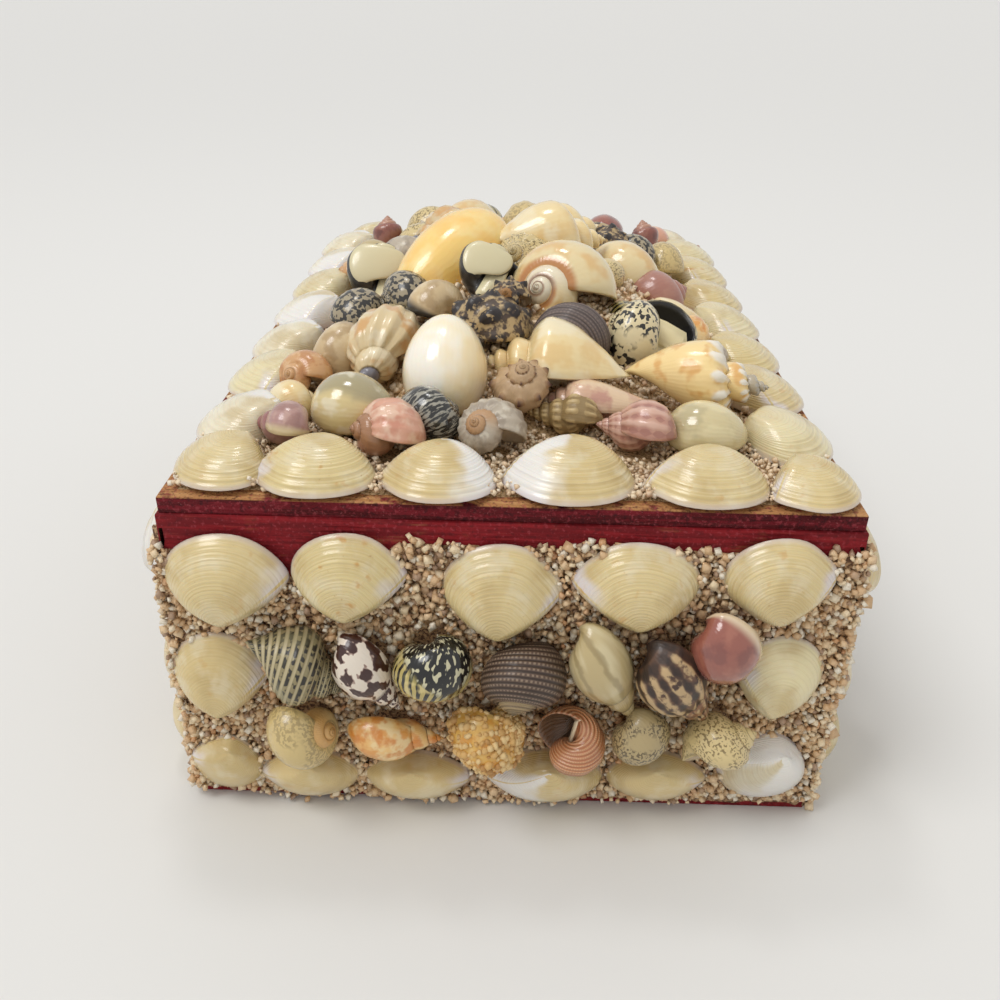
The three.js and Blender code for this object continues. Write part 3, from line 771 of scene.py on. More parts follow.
def dark_back(f):
    """An egg with a grey-green back and pale clouds."""
    f.over("9a9070", f.step(f.math("ADD", f.raised, f.math("MULTIPLY", f.noise(5), 0.5)), 0.85, 1.15), 0.8)
    f.blotches("ece2c4", 4, 0.5, 0.65, 0.7, seed=6)


def white_beads(f):
    """Amber clouds, white beads and a grey spire."""
    f.blotches("dca458", 4, 0.5, 0.65, 0.8)
    f.over("f0e8d8", f.step(f.raised, 0.004, 0.02))
    f.over("9a948a", f.step(f.age, 1.6, 2.2), 0.8)


CLAM_LOOKS = {
    "cream_clam": dict(colour="dac58f"),
    "stained_clam": dict(colour="dac68e", stains=1.0),
    "plain_clam": dict(lines=0.3, stains=0.3),
    "white_left_clam": dict(white=(0.4, 0.68), stains=0.2),
    "white_right_clam": dict(white=(-0.2, 0.1), stains=0.3, tip=0.4),
    "whitened_clam": dict(white=(0.4, 0.64), stains=0.5, tip=0.3),
    "pale_clam": dict(colour="e3d6aa", stains=0.3, lines=0.4),
    "chalky_clam": dict(colour="e9e0c6", white=(-0.2, 0.3), stains=0.1, lines=0.3),
    "white_clam": dict(colour="d9cfb4", white=(-0.05, 0.76), stains=0.1),
}
# The coiled shells: colour, layers and how they differ from the usual polish.
DULL = dict(roughness=0.5, varnish=0.15)
WORN = dict(roughness=0.45, varnish=0.2, grit=0.06)
SHINY = dict(roughness=0.15, varnish=0.9)
SHELL_LOOKS = {
    "dashed": ("8f835f", dashes, dict(roughness=0.45, varnish=0.25)),
    "flamed": ("e4d8c8", flames, {}),
    "striped": ("b9a765", stripes, dict(roughness=0.2)),
    "brown_corded": ("5e4a3e", fine_cords("a59078", "38291f", 19, apex="b09872"), DULL),
    "grey_corded": ("6a5b56", fine_cords("85766e", "4a3f3b", 24), DULL),
    "pale_green": ("bfab7c", folds("d6c8a0", "8d7a50", "b09a6a"), {}),
    "tan_ribbed": ("453026", broken_ribs, WORN),
    "red_brown": ("97584a", clouded("a86a58", "804840", apex="7a4a48", lip="dcc5a6", size=4), SHINY),
    "speckled_yellow": ("d0b87e", speckles("b09a68", 60, 0.48, apex="d0a260"), dict(grit=0.12)),
    "orange_white": ("ebcd96", clouded("dc8f2e", "eabb72", "d07c26", size=3), {}),
    "sandy_yellow": ("dcae58", clouded("e3c27e", "cf8f34", size=2.6), {}),
    "peach_corded": ("c98d62", fine_cords("dcb48c", "b06c44", 18), dict(mouth="7a5a40", deck="ead6b4")),
    "green_speckled": ("b09c70", speckles("6a5c40", 60, 0.5), dict(roughness=0.4)),
    "cream_speckled": ("d6c08a", speckles("8c784e", 60, 0.53), dict(roughness=0.35)),
    "cream_egg": ("faeccb", clouded("faf5ea", "f3dca8", size=16), dict(roughness=0.2, varnish=0.8, glow=0.2)),
    "olive_egg": ("d8c48c", dark_back, dict(SHINY, glow=0.15)),
    "clear_egg": ("d2c396", clouded("b9ac84", "e0d3a6", size=6), dict(SHINY, glow=0.3)),
    "mauve_pink": ("cfa88c", clouded("bf8c7c", "e4caa6", size=4), dict(varnish=0.7)),
    "black_cream": ("201e1e", clouded("35322e"), dict(roughness=0.3, mouth="1b1816", deck="e8dcb2")),
    "beige": ("cdb48a", clouded("dcc8a2", "b0946a", lip="2c2622", size=4), {}),
    "grey_dark": ("a3967c", speckles("2a2724", 34, 0.48, patchy=False), dict(roughness=0.35)),
    "orange_tan": ("cf9f6c", clouded("dfb98c", "b97c48", size=3), {}),
    "pink_flamed": ("dba48a", clouded("c98870", "e8c6ac", apex="a87a58", size=4, spire=0.7), {}),
    "black_streaked": ("232322", streaks("aaa698", 60, 0.49), dict(roughness=0.2, varnish=0.7)),
    "grey_cream": (
        "b8ab98", clouded("cfc5b2", "9a8c7c", apex="b89068", size=2.5), dict(roughness=0.4, varnish=0.2)
    ),
    "star_brown": (
        "ac8862", raised_tips("553630", "c4a680", 0.04, 0.11, cloud="987454"), dict(DULL, grit=0.06)
    ),
    "mauve": ("b78474", raised_tips("d3ab98", "9f6b5e", 0.003, 0.02, cloud="c69a84"), dict(mouth="e6d3c0")),
    "mauve_smooth": ("b08882", clouded("c09c90", "9c746c", apex="96605c", lip="d9c59c"), {}),
    "black_speckled": ("dccda4", speckles("1f1c18", 36, 0.5), dict(mouth="1c1a1a", deck="e6d6a6")),
    "dark_knobbed": ("b89e72", dark_lumps, WORN),
    "cream_ribbed": ("dcc69a", clouded("cf9a58", "e6d8b8", apex="77747c", size=5, spire=1.6), {}),
    "moon_cream": ("e6d2a2", moon_whorls, dict(roughness=0.18, varnish=0.8, glow=0.1)),
    "yellow_orange": (
        "fad27a", clouded("fbdf9a", "f6c566", size=12), dict(roughness=0.25, varnish=0.6, glow=0.2)
    ),
    "cream_conch": (
        "ecd5a0", clouded("e4c284", "f0e2be", size=7), dict(roughness=0.22, varnish=0.7, mouth="c08c80")
    ),
    "beaded_cream": ("f4d798", white_beads, dict(roughness=0.25)),
    "tan_knobbed": ("a98f60", raised_tips("c4ab7c", "80683f", 0.005, 0.02), DULL),
    "rust": ("8a5044", clouded("a06a58", "70403a", apex="b98a74"), {}),
}
FINISHES = {name: clam_finish(name, **look) for name, look in CLAM_LOOKS.items()}
for name, (colour, layers, look) in SHELL_LOOKS.items():
    FINISHES[name] = shell_finish(name, colour, layers, **look)

# --- the shells ---

# Template, finish, place on the face with the height of the shell's middle where it lies high, its
# size, then turn, tilt and roll in degrees, and whether it is mirrored.
FRONT = {
    "top_clam_1": ("clam", "cream_clam", (-47, 51.5), (21, 16)),
    "top_clam_2": ("ridged_clam", "stained_clam", (-26.5, 52.5), (19.5, 15.5)),
    "top_clam_3": ("ridged_clam", "cream_clam", (-1, 50.5), (20.5, 17)),
    "top_clam_4": ("ridged_clam", "cream_clam", (21, 52.5), (21.5, 15), 0, 0, 0, True),
    "top_clam_5": ("ridged_clam", "cream_clam", (44.5, 54), (19, 15), 6),
    "left_clam": ("clam", "plain_clam", (-50.5, 31), (17, 17)),
    "right_clam": ("clam", "pale_clam", (47.5, 34), (15.5, 16.5), -12, 0, 0, True),
    "bottom_clam_1": ("clam", "plain_clam", (-52, 9), (14, 13.5), 165),
    "bottom_clam_2": ("clam", "plain_clam", (-36.5, 7.5), (19, 12.5), 180),
    "bottom_clam_3": ("clam", "plain_clam", (-16, 7.5), (20.5, 12), 180, 0, 0, True),
    "bottom_clam_4": ("clam", "white_right_clam", (7.5, 8.5), (22.5, 13.5), 180),
    "bottom_clam_5": ("clam", "plain_clam", (28.5, 9), (19, 12.5), 180, 0, 0, True),
    "bottom_clam_6": ("clam", "white_clam", (47.5, 12), (17.5, 16.5), 160),
    "grey_whelk": ("dogwhelk", "dashed", (-36, 36), 19, -118, 0, 150),
    "flame_snail": ("periwinkle", "flamed", (-24, 35), (14.5, 20), -145),
    "striped_nerite": ("nerite", "striped", (-12.5, 37), (13.5, 15), 170, 10),
    "ribbed_nerite": ("corded_nerite", "brown_corded", (3, 35.5), (14.5, 15), 168, 48),
    "pale_periwinkle": ("periwinkle", "pale_green", (16.5, 36.8), (15.5, 24.5), -150, 0, 195),
    "brown_periwinkle": ("ribbed_periwinkle", "tan_ribbed", (28.5, 36), (17, 22.5), -142, 0, 200),
    "red_snail": ("round_snail", "red_brown", (36, 43.5), (14.5, 17), -145, 0, 200),
    "speckled_moon": ("moon", "speckled_yellow", (-36, 21.5), 13.5, -70, 20),
    "orange_cone": ("periwinkle", "orange_white", (-19.5, 20.5), (13, 18.5), -92),
    "sandy_moon": ("moon", "sandy_yellow", (-3, 22.5), 14, -60, 20),
    "peach_turban": ("fine_turban", "peach_corded", (11.8, 22), 14.5, 172, -8, 22),
    "green_turban": ("round_snail", "green_speckled", (24, 23), (13, 14), -150),
    "cream_turban": ("turban", "cream_speckled", (37.5, 22.5), 15, -60, 0, 40),
}
LID = {
    "front_clam_1": ("ridged_clam", "cream_clam", (-49, -77), (18, 15), 150),
    "front_clam_2": ("ridged_clam", "stained_clam", (-32.7, -79), (21, 14.5), 180),
    "front_clam_3": ("ridged_clam", "whitened_clam", (-12.2, -79.5), (20, 14.5), 180),
    "front_clam_4": ("ridged_clam", "white_right_clam", (9.4, -78.5), (22.5, 16), 180),
    "front_clam_5": ("ridged_clam", "cream_clam", (32.2, -79.3), (21, 14), 180),
    "front_clam_6": ("ridged_clam", "cream_clam", (50, -79.5), (16, 14), 205),
    "cream_conch": ("conch", "cream_conch", (8, -46.5, 8), (36, 29), 78, 0, 192),
    "knobbed_conch": ("beaded_conch", "beaded_cream", (34, -49.5, 9), (28, 28), -98, 0, 195),
    "egg_cowrie": ("cowrie", "cream_egg", (-13, -51, 9), (16, 20.5), 180, -52),
    "olive_cowrie": ("cowrie", "olive_egg", (-29, -59.5, 6), (14, 15.5), 75),
    "black_nerite": ("nerite", "black_streaked", (-15, -63.5, 6), 12.5, -60, 20),
    "ribbed_turban": ("ribbed_snail", "grey_cream", (-3.6, -67, 5.5), 13.5, 150, 40),
    "star_snail": ("star_turban", "star_brown", (1, -56.5, 9), 12.5, 170, 60, -30),
    "mauve_conch": ("ribbed_periwinkle", "mauve", (21.5, -66.5, 4.5), (14.5, 15.5), 75),
    "clear_cowrie": ("cowrie", "clear_egg", (34, -64.8, 5), (12, 14.5), 80),
    "speckled_nerite": ("open_nerite", "black_speckled", (27.5, -32, 9.5), 20, 62, 20, -28),
    "grey_nerite": ("corded_nerite", "grey_corded", (11, -38, 12), 15.5, -30),
    "dark_drupe": ("knobbed_dogwhelk", "dark_knobbed", (-5.5, -36, 12.5), (23, 27), 130, 5),
    "nodular_whelk": ("ribbed_dogwhelk", "cream_ribbed", (-26.5, -35, 9), (20, 30), 172, -12),
    "moon_snail": ("moon", "moon_cream", (10, -18, 16.5), 23, 150, 25),
    "orange_cowrie": ("cowrie", "yellow_orange", (-14.5, 0.5, 17.5), (20, 35), -40, 20),
    "black_nerite_2": ("flat_nerite", "black_cream", (-5.5, -18, 18.5), 15, -35, 38, 32),
    "top_conch": ("conch", "cream_conch", (7, 5, 21), (34, 28.5), -70, 0, 200),
}


def size_of(template, size):
    """Width, length and thickness of a shell from a size that gives one, two or all three."""
    if not isinstance(size, tuple):
        return size, size, size
    if len(size) > 2:
        return size
    width, length = size
    return width, length, width * BULGE if "clam" in template else width


MOUTH_DOWN = 190  # roll of a coiled shell, unless its row says otherwise


def set_shell(name, face, template, finish, at, size, turn=0, tilt=0, roll=None, mirror=False):
    if roll is None:
        roll = MOUTH_DOWN if template in COILED else 0
    shell = copy_of(TEMPLATES[template], name, FINISHES[finish])
    return settle(shell, size_of(template, size), face, at, turn, tilt, roll, mirror, "clam" in template)


for face, table in (("front", FRONT), ("lid", LID)):
    for name, (template, finish, *rest) in table.items():
        shell = set_shell(f"{face}_{name}_shell", face, template, finish, *rest)
        hand_over(shell, f"{face}_{name}")

# The small shells of the lid, which are one piece with its sand.
LID_SMALL = [
    ("periwinkle", "mauve_smooth", (-40.5, -67.5), (13, 12.5), 72),
    ("ribbed_snail", "pink_flamed", (-21.3, -70), (13.5, 14), 110, 15),
    ("cerith", "tan_knobbed", (9, -60), (20, 16), 75),
    ("moon", "orange_tan", (-41, -43.5), 11, 150, 30),
    ("nerite", "beige", (-36, -33), 14, 60, 20, 160),
    ("round_snail", "grey_dark", (-35, -14), 16, 30),
    ("flat_nerite", "black_cream", (-32, 9, 7), 19, -20, 45, 20),
    ("cone", "rust", (-36.5, 50, 7), 15, 10, 62),
    ("round_snail", "mauve", (33, 4, 8), 17, -70, 20),
    ("conch", "cream_conch", (34, -7), (20, 19), 100, 0, 200),
    ("nerite", "grey_dark", (29, 27), 16, -40, 0, 60),
    ("cone", "rust", (35.5, 51, 8), 15, 20, 60),
    ("whelk", "cream_ribbed", (-16, 27, 15), 28, 120),
    ("conch", "cream_conch", (10, 30, 16), 31, -60),
    ("moon", "moon_cream", (-14, 50, 8), 21, 40),
    ("round_snail", "dark_knobbed", (21, 42, 9), 19, -30),
    ("ribbed_snail", "cream_speckled", (1.5, -6, 19), 15, 160, 40),
    ("turban", "cream_speckled", (-25, 38, 9), 19, 150, 20),
    ("knobbed_dogwhelk", "dark_knobbed", (23, 25, 13), 20, 60),
    ("periwinkle", "pale_green", (-25, -22, 8), 14, -110),
    ("round_snail", "red_brown", (24, 60, 6), 17, 60),
    ("periwinkle", "cream_speckled", (-25, 62, 6), 21, 140),
    ("turban", "grey_cream", (3, 63, 6), 18, 20),
    ("moon", "speckled_yellow", (38, 33), 14, 80),
    ("cone", "mauve_pink", (17, -55.5, 3), (18, 25), 80),
    ("round_snail", "pale_green", (-38, 32), 15, -40),
    ("nerite", "striped", (24, -20, 8), 13, 120),
    ("moon", "moon_cream", (25.5, 11, 11), 20, -60, 20),
    ("nerite", "grey_dark", (-24, -13, 11), 14, 110),
    ("round_snail", "grey_cream", (-28, 21.5, 10), 17, -30),
    ("turban", "speckled_yellow", (1, 45, 13), 20, 80),
    ("periwinkle", "orange_tan", (12, 55, 9), (19, 24), 150),
    ("nerite", "striped", (-10, 65, 5), 16, -120),
    ("cone", "cream_conch", (34, 20, 6), (14, 20), 15),
    ("moon", "orange_tan", (-40, 23), 13, 100, 20),
    ("star_turban", "dark_knobbed", (-1.5, -28, 17), 10, 170, 40),
    ("periwinkle", "grey_cream", (41, -27), (11, 15), 25),
    ("moon", "beige", (-17, -24, 13), 13, 20),
    ("round_snail", "orange_tan", (-24, 1, 11), 14, 70, 10),
    ("periwinkle", "cream_speckled", (20, -3, 15), (12, 16), -20),
    ("periwinkle", "pink_flamed", (40, 66), (13, 15), 150),
    ("turban", "orange_white", (38, -17), 12, 60),
    ("round_snail", "cream_conch", (-41, -56), 10, -60),
]
# The clams along the lid's sides and back, one piece with its sand too.
SIDE_CLAMS, BACK_CLAMS = 7, 5
EDGE_SIZE = (21, 16.5)
EDGE_LOOKS = ["chalky_clam", "pale_clam", "pale_clam", "cream_clam", "chalky_clam", "stained_clam"]


def edge_places():
    """Place, turn and mirroring of each clam along the lid's sides and back."""
    places = []
    for i in range(SIDE_CLAMS):
        y, turn, mirror = -59.5 + 20.3 * i, 5 * math.sin(2.1 * i), i % 2 == 1
        places.append(((-49.5, y), 90 + turn, mirror))
        places.append(((49.5, y - 1.5), -90 + turn, not mirror))
    corner_turns = [35, 0, 0, 0, -35]
    for i in range(BACK_CLAMS):
        places.append(((-44 + 22 * i, 77), corner_turns[i], i % 2 == 0))
    return places


small = [set_shell("lid_small", "lid", *shell) for shell in LID_SMALL]
rim = []
for k, (at, turn, mirror) in enumerate(edge_places()):
    look = EDGE_LOOKS[k % len(EDGE_LOOKS)]
    rim.append(set_shell("lid_edge", "lid", "ridged_clam", look, at, EDGE_SIZE, turn, mirror=mirror))
hand_over(joined(small, "lid_small_shells"), "lid_sand_and_small_shells")
hand_over(joined(rim, "lid_edge_clams"), "lid_sand_and_small_shells")

# The plainer walls: clams along the top and the bottom and at each end, two rows of snails between.
ROWS = {"top": 50.5, "upper": 36, "end": 30, "lower": 21.5, "bottom": 7.8}
WALL_LOOKS = ["cream_clam", "stained_clam", "plain_clam", "white_left_clam"]
TOP_CLAM, BOTTOM_CLAM, END_CLAM = 17.5, 14, (16, 19)
UPPER_SNAIL, LOWER_SNAIL = (16, 18, 12), (15, 17, 12)
CLAMS_SHORT, SNAILS_SHORT = 6, 42  # how much shorter than its wall a row is
DOMED = 6.7  # thickness of the end clams on the side walls
SNAILS = [
    ("moon", "speckled_yellow"),
    ("periwinkle", "pale_green"),
    ("turban", "grey_cream"),
    ("whelk", "mauve"),
    ("nerite", "striped"),
    ("cone", "orange_white"),
]


def wall_clams(face, length, count, first_look):
    pitch = (length - CLAMS_SHORT) / count
    valves = []

    def valve(template, at, size, turn, mirror):
        look = WALL_LOOKS[(len(valves) + first_look) % len(WALL_LOOKS)]
        valves.append(set_shell(f"{face}_valve", face, template, look, at, size, turn, mirror=mirror))

    for i in range(count):
        x, turn, mirror = (i - (count - 1) / 2) * pitch, 7 * math.sin(2.3 * i), i % 2 == 1
        width = pitch - 1 - i % 3
        domed = [DOMED] if face != "back" and i in (0, count - 1) else []
        valve("ridged_clam", (x, ROWS["top"]), (width, TOP_CLAM, *domed), turn, mirror)
        valve("plain_clam", (-x, ROWS["bottom"]), (width, BOTTOM_CLAM, *domed), 180 - turn, mirror)
    for side in (-1, 1):
        valve("clam", (side * (length / 2 - 9), ROWS["end"]), END_CLAM, 0, side > 0)
    return valves


def wall_snails(face, length, count):
    pitch = (length - SNAILS_SHORT) / count
    snails = []
    for i in range(count):
        x, turn = (i - (count - 1) / 2) * pitch - 2, 180 + 70 * math.sin(1.9 * i)
        upper = (x, ROWS["upper"]), UPPER_SNAIL, turn
        lower = (x + pitch / 2, ROWS["lower"]), LOWER_SNAIL, -turn
        for k, place in ((i, upper), (i + 3, lower)):
            snails.append(set_shell(f"{face}_snail", face, *SNAILS[k % len(SNAILS)], *place))
    return snails


for face, length, clams, snails, first_look in (
    ("back", WIDTH, 5, 5, 0),
    ("left", DEPTH, 8, 7, 1),
    ("right", DEPTH, 8, 7, 2),
):
    valves = wall_clams(face, length, clams, first_look)
    coils = wall_snails(face, length, snails)
    hand_over(joined(valves, f"{face}_clams"), f"{face}_sand_and_shells")
    hand_over(joined(coils, f"{face}_snails"), f"{face}_sand_and_shells")

for template in TEMPLATES.values():
    bpy.data.objects.remove(template)

# --- sand ---

chance = np.random.default_rng(7)
WALL_GRAINS = (0.9, 60)  # lowest and highest grain of a wall
FRONT_PITCH, WALL_PITCH, LID_FINE_PITCH, LID_COARSE_PITCH = 1.05, 1.55, 0.8, 1.5
GRAIN, FINE_GRAIN, COARSE_GRAIN = 0.58, 0.4, 0.62  # radii; a wall's is a share of its pitch
CRUST_GRAIN, CRUST_GRAINS = 0.58, 800
BED_TOP, BED_UNEVEN, BED_UNDER = 0.45, 0.2, -0.4
STRAY, FRAY = 0.22, 0.35  # of grains off their grid, in pitches, and across the border
LOW_GRAIN, LAYER = 0.7, 0.95  # height of the lowest grains, and from one layer to the next
LID_LENGTH, LID_FINE_END = 165, -50  # fine grains lie at the front of the lid, up to that place
MOUND_MIDDLE, MOUND_REACH, MOUND_HEIGHT = (2, 4), (39, 64), 16


def ripple(x, y, size, seed):
    """Gentle unevenness between -1 and 1, in lumps of about that size."""
    total = 0
    for k in range(4):
        angle = seed * 2.1 + k * 1.37
        wave = (x * math.cos(angle) + y * math.sin(angle)) * (1 + 0.35 * k) * math.pi / size
        total = total + np.sin(wave + seed * 5.3 + k * 2.2)
    return total / 4


def level(x, y):
    return np.zeros_like(x)


def mound(x, y):
    """Height of the mound under the lid's shells."""
    out = ((x - MOUND_MIDDLE[0]) / MOUND_REACH[0]) ** 2 + ((y - MOUND_MIDDLE[1]) / MOUND_REACH[1]) ** 2
    return MOUND_HEIGHT * np.maximum(0, 1 - out) ** 0.85


def sand_edge(points):
    """How far inside a border a place is, from the border's height along x."""
    xs, ys = zip(*points)
    return lambda x, y: np.interp(x, xs, ys) - y


FRONT_BORDER = sand_edge([
    (-59, 57), (-57, 56), (-54, 50), (-40, 50), (-33, 50), (-20, 56), (-17, 59), (-10, 59), (-4, 57),
    (4, 58), (7, 59), (14, 59.6), (18, 59), (22, 57), (29, 58.6), (36, 58.5), (44, 56), (54, 59), (59, 59),
])
SIDE_BORDER = sand_edge(
    [(x, 57.6 + 0.9 * math.sin(x * 0.35) + 0.6 * math.sin(x * 0.9 + 2)) for x in range(-86, 87, 3)]
)


def front_foot(x):
    """Height of the bare wood below the front's sand."""
    return np.select([x > 36, x > 14, x < -47], [3, 2, 2], WALL_GRAINS[0])


def bed(name, face, size, low, finish, height=level, border=None, pitch=2.4):
    """The glue and fine sand under the grains, dipping under the wood outside its border."""
    start_fresh()
    nx, ny = int(size[0] / pitch), int(size[1] / pitch)
    bpy.ops.mesh.primitive_grid_add(x_subdivisions=nx, y_subdivisions=ny, size=1)
    piece = bpy.context.object
    piece.name = name
    x, y = (corners(piece.data)[:, :2] * size + [0, low + size[1] / 2]).T
    top = BED_TOP + BED_UNEVEN * ripple(x, y, 4, 1) + height(x, y)
    rim = np.minimum(size[0] / 2 - np.abs(x), np.minimum(y - low, low + size[1] - y))
    top -= 0.6 * np.clip(1 - rim / 0.8, 0, 1)
    if border:
        top -= np.clip(0.5 - border(x, y), 0, 0.9)
    edit_all()
    bpy.ops.mesh.extrude_region_move()
    bpy.ops.object.mode_set(mode="OBJECT")
    both = np.vstack([np.column_stack([x, y, z]) for z in (top, np.full(len(x), BED_UNDER))])
    move_corners(piece.data, on_face(both, face))
    smooth_outside()
    piece.data.materials.append(finish)
    return piece


def grain_places(face, size, low, high, pitch, second=0.3, height=level, border=None, foot=None):
    """Places of the grains on a face: a loose grid and a scattered second layer, not under the shells."""
    found = []
    for layer, share in ((0, 1.0), (1, second)):
        xs = np.arange(-size / 2, size / 2, pitch)
        ys = np.arange(low, high, pitch * 0.87)
        x, y = np.meshgrid(xs, ys)
        x = x + (np.arange(len(ys)) % 2)[:, None] * pitch / 2
        x, y = x.ravel(), y.ravel()
        x = x + chance.normal(0, STRAY * pitch, x.size)
        y = y + chance.normal(0, STRAY * pitch, y.size)
        keep = chance.random(x.size) < share * (1 + 0.5 * ripple(x, y, 9, 3))
        if border:
            keep &= border(x, y) > chance.normal(0, FRAY, x.size)
        keep &= (np.abs(x) < size / 2 + 0.3) & (y > (foot(x) if foot else low)) & (y < high)
        z = LOW_GRAIN + LAYER * layer + chance.normal(0, 0.15, x.size) + height(x, y)
        for cx, cy, rx, ry, base, flat in FOOTPRINTS[face]:
            out = np.hypot((x - cx) / rx, (y - cy) / ry)
            keep &= ~((out < (0.86 if flat else 0.55)) & (z < base + 1.2))
            z = z + 0.5 * np.exp(-(((out - 1) / 0.12) ** 2)) * (y < cy + ry * 0.3 if flat else 1)
        found.append(np.stack([x, y, z], 1)[keep])
    return np.vstack(found)


def grains(name, face, places, radius, finish, chips=True):
    """A grain of sand copied to every place, each turned, sized and toned by chance, as one piece."""
    start_fresh()
    if chips:
        bpy.ops.mesh.primitive_cube_add(size=1.3)
    else:
        bpy.ops.mesh.primitive_ico_sphere_add(subdivisions=1, radius=1)
    grain = bpy.context.object
    mesh = grain.data
    shape = corners(mesh)
    loops = np.array([loop.vertex_index for loop in mesh.loops])
    starts = np.array([side.loop_start for side in mesh.polygons])
    count = len(places)
    sizes = radius * chance.lognormal(0, 0.25, (count, 1, 1)) * chance.uniform(0.65, 1.35, (count, 1, 3))
    sizes = np.minimum(sizes, 1.6 * radius) * (1 + chance.uniform(-0.22, 0.22, (count, len(shape), 1)))
    turns = np.array([Euler(chance.uniform(0, 6.3, 3)).to_matrix() for _ in range(count)])
    points = np.einsum("nij,nkj->nki", turns, shape[None] * sizes) + places[:, None]
    points[:, :, 2] = np.maximum(points[:, :, 2], 0.05)
    if face != "lid":
        points[:, :, 1] = np.maximum(points[:, :, 1], 0.05)
    mesh.clear_geometry()
    mesh.vertices.add(count * len(shape))
    mesh.loops.add(count * len(loops))
    mesh.polygons.add(count * len(starts))
    mesh.vertices.foreach_set("co", on_face(points.reshape(-1, 3), face).astype(np.float32).ravel())
    offsets = np.arange(count)[:, None]
    mesh.loops.foreach_set("vertex_index", (loops[None] + offsets * len(shape)).ravel())
    mesh.polygons.foreach_set("loop_start", (starts[None] + offsets * len(loops)).ravel())
    mesh.update(calc_edges=True)
    mesh.validate()
    tones = np.stack([chance.random(count), chance.random(count), sizes[:, 0, 0]], 1)
    mark_growth(mesh, np.repeat(tones, len(shape), 0))
    grain.name = name
    mesh.materials.append(finish)
    return grain


def crust():
    """Sand grown over the back of the front's sandy moon snail."""
    points = PLACED["front_sandy_moon_shell"]
    middle = points[:, 0].mean()
    up = points[:, 2] > 4 + 0.5 * np.maximum(0, points[:, 0] - middle)
    points = points[up & (points[:, 0] < middle + 3.5)]
    points = points[chance.random(len(points)) < CRUST_GRAINS / len(points)]
    return grains("front_sand_stuck_on_moon", "front", points, CRUST_GRAIN, CRUST, chips=False)


def coat_wall(face, length, border, pitch, node, foot=None):
    under = bed(f"{face}_sand_bed", face, (length, SAND_HIGH), SAND_FOOT, WALL_BED, border=border)
    places = grain_places(face, length + 1, *WALL_GRAINS, pitch, border=border, foot=foot)
    if face == "front":
        hand_over(crust(), "front_sandy_moon")
    over = grains(f"{face}_sand_grains", face, places, GRAIN * pitch, WALL_SAND)
    hand_over(under, node)
    hand_over(over, node)


def coat_lid():
    front, end, width = -LID_LENGTH / 2, LID_LENGTH / 2, 110
    under = bed("lid_sand_bed", "lid", (width, LID_LENGTH), front, LID_BED, height=mound, pitch=2.2)
    fine = grain_places("lid", width + 1, front, LID_FINE_END, LID_FINE_PITCH, height=mound)
    coarse = grain_places("lid", width + 1, LID_FINE_END, end, LID_COARSE_PITCH, 0.1, height=mound)
    for piece in (
        under,
        grains("lid_front_sand_grains", "lid", fine, FINE_GRAIN, LID_SAND),
        grains("lid_sand_grains", "lid", coarse, COARSE_GRAIN, LID_SAND),
    ):
        hand_over(piece, "lid_sand_and_small_shells")


WALL_SAND = grain_finish("coral_sand")
LID_SAND = grain_finish("fine_coral_sand", pale=0.8)
CRUST = crust_finish("tan_sand")
# Each bed's colour is partly glue and partly painted shade in the gaps between the grains.
WALL_BED = bed_finish("sand_glue_and_painted_shade", "a27c58", "684a34")
LID_BED = bed_finish("fine_sand_glue_and_painted_shade", "c4a87c", "96784f")
coat_wall("front", WIDTH + 1.6, FRONT_BORDER, FRONT_PITCH, "front_sand", front_foot)
coat_wall("back", WIDTH + 1.6, SIDE_BORDER, WALL_PITCH, "back_sand_and_shells")
coat_wall("left", DEPTH, SIDE_BORDER, WALL_PITCH, "left_sand_and_shells")
coat_wall("right", DEPTH, SIDE_BORDER, WALL_PITCH, "right_sand_and_shells")
coat_lid()

# --- wood ---

EASED = 0.35  # the boards' rounded edges


def plank(node, finish):
    """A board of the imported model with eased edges."""
    low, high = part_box(node)
    start_fresh()
    bpy.ops.mesh.primitive_cube_add(size=1, location=(0, 0, 0))
    piece = bpy.context.object
    piece.name = node + "_wood"
    move_corners(piece.data, corners(piece.data) * np.array(high - low) + np.array(low + high) / 2)
    edit_all()
    bpy.ops.mesh.bevel(offset=EASED * MM, segments=2, affect="EDGES")
    bpy.ops.object.mode_set(mode="OBJECT")
    bpy.ops.object.shade_smooth_by_angle(angle=math.radians(35))
    piece.data.materials.append(finish)
    hand_over(piece, node)


CRIMSON = ("6a0c14", "86161e", "a04438")
MAROON = ("500a10", "741420", "8c3a3a")
ends = wood_finish("crimson_softwood", *CRIMSON, GRAIN_ALONG_X, worn=0.8)
sides = wood_finish("crimson_softwood_sides", *CRIMSON, GRAIN_ALONG_Y, worn=0.5)
lid_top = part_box("lid_board")[1][2] / MM
lid = wood_finish("lid_softwood", *MAROON, GRAIN_ALONG_X, rough=0.3, bare=lid_top)
for node, finish in (
    ("front_board", ends),
    ("back_board", ends),
    ("left_board", sides),
    ("right_board", sides),
    ("bottom_board", sides),
    ("lid_board", lid),
):
    plank(node, finish)

# --- floor, light and camera ---

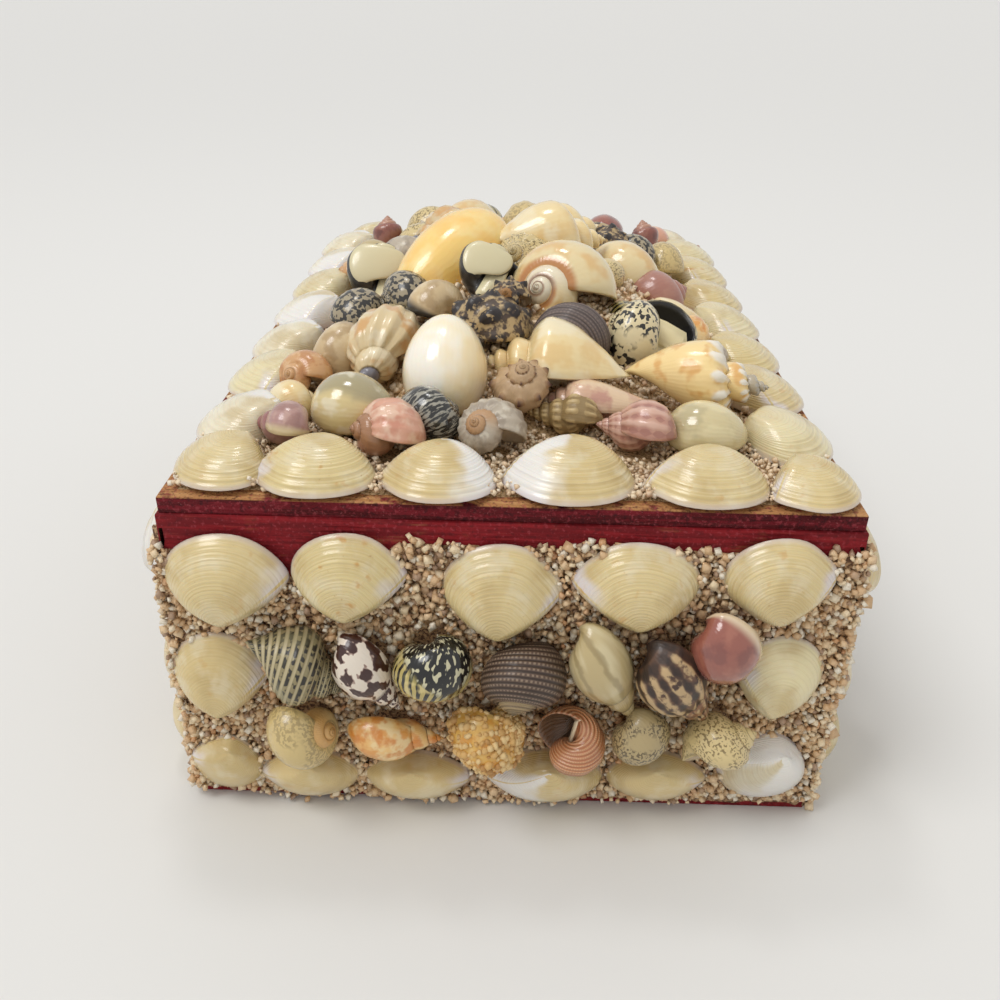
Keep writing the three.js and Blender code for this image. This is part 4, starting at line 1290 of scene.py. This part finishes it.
start_fresh()
bpy.ops.mesh.primitive_plane_add(size=16, location=(0, 0, 0))
floor = bpy.context.object
floor.name = "floor"
floor.data.materials.append(Finish("pale_paper", "e2e1de", roughness=0.6, varnish=0).made())

BOX_MIDDLE = Vector((0, 0, 0.04))
DAYLIGHT = (1, 0.995, 0.985, 1)
EYE = (-0.00013, -0.21702, 0.14055)
EYE_PITCH, EYE_YAW, EYE_ROLL = -29.39, -0.71, 1.19


def lamp(name, kind, strength, width, place):
    """A lamp that shines on the box: a sun's width is an angle, the others' is in metres."""
    light = bpy.data.lights.new(name, kind)
    light.energy = strength
    if kind == "SUN":
        light.angle = width
    else:
        light.shape, light.size = "DISK", width
    holder = bpy.data.objects.new(name, light)
    bpy.context.collection.objects.link(holder)
    holder.location = place
    holder.rotation_euler = (BOX_MIDDLE - Vector(place)).to_track_quat("-Z", "Y").to_euler()


def room(colour, strength):
    """Even light from all round."""
    world = bpy.data.worlds.new("room")
    bpy.context.scene.world = world
    world.use_nodes = True
    around = world.node_tree.nodes["Background"]
    around.inputs[0].default_value = colour
    around.inputs[1].default_value = strength


def eye(place, pitch, yaw, roll):
    """The camera, turned by degrees from looking along +y."""
    lens = bpy.data.cameras.new("eye")
    lens.lens = 34.08
    lens.sensor_width = 36
    camera = bpy.data.objects.new("eye", lens)
    bpy.context.collection.objects.link(camera)
    pitch, yaw, roll = (math.radians(a) for a in (pitch, yaw, roll))
    ahead = Vector((math.sin(yaw) * math.cos(pitch), math.cos(yaw) * math.cos(pitch), math.sin(pitch)))
    right = Vector((math.cos(yaw), -math.sin(yaw), 0))
    up = right.cross(ahead)
    right, up = right * math.cos(roll) + up * math.sin(roll), up * math.cos(roll) - right * math.sin(roll)
    turned = Matrix((right, up, -ahead)).transposed().to_4x4()
    camera.matrix_world = Matrix.Translation(place) @ turned
    return camera


lamp("window", "SUN", 1.1, 0.45, (-0.55, -0.25, 1.0))
lamp("ceiling", "AREA", 0.5, 0.12, (-0.1, 0.15, 0.7))
room(DAYLIGHT, 0.7)
bpy.context.scene.view_settings.view_transform = "Standard"
bpy.context.scene.camera = eye(EYE, EYE_PITCH, EYE_YAW, EYE_ROLL)
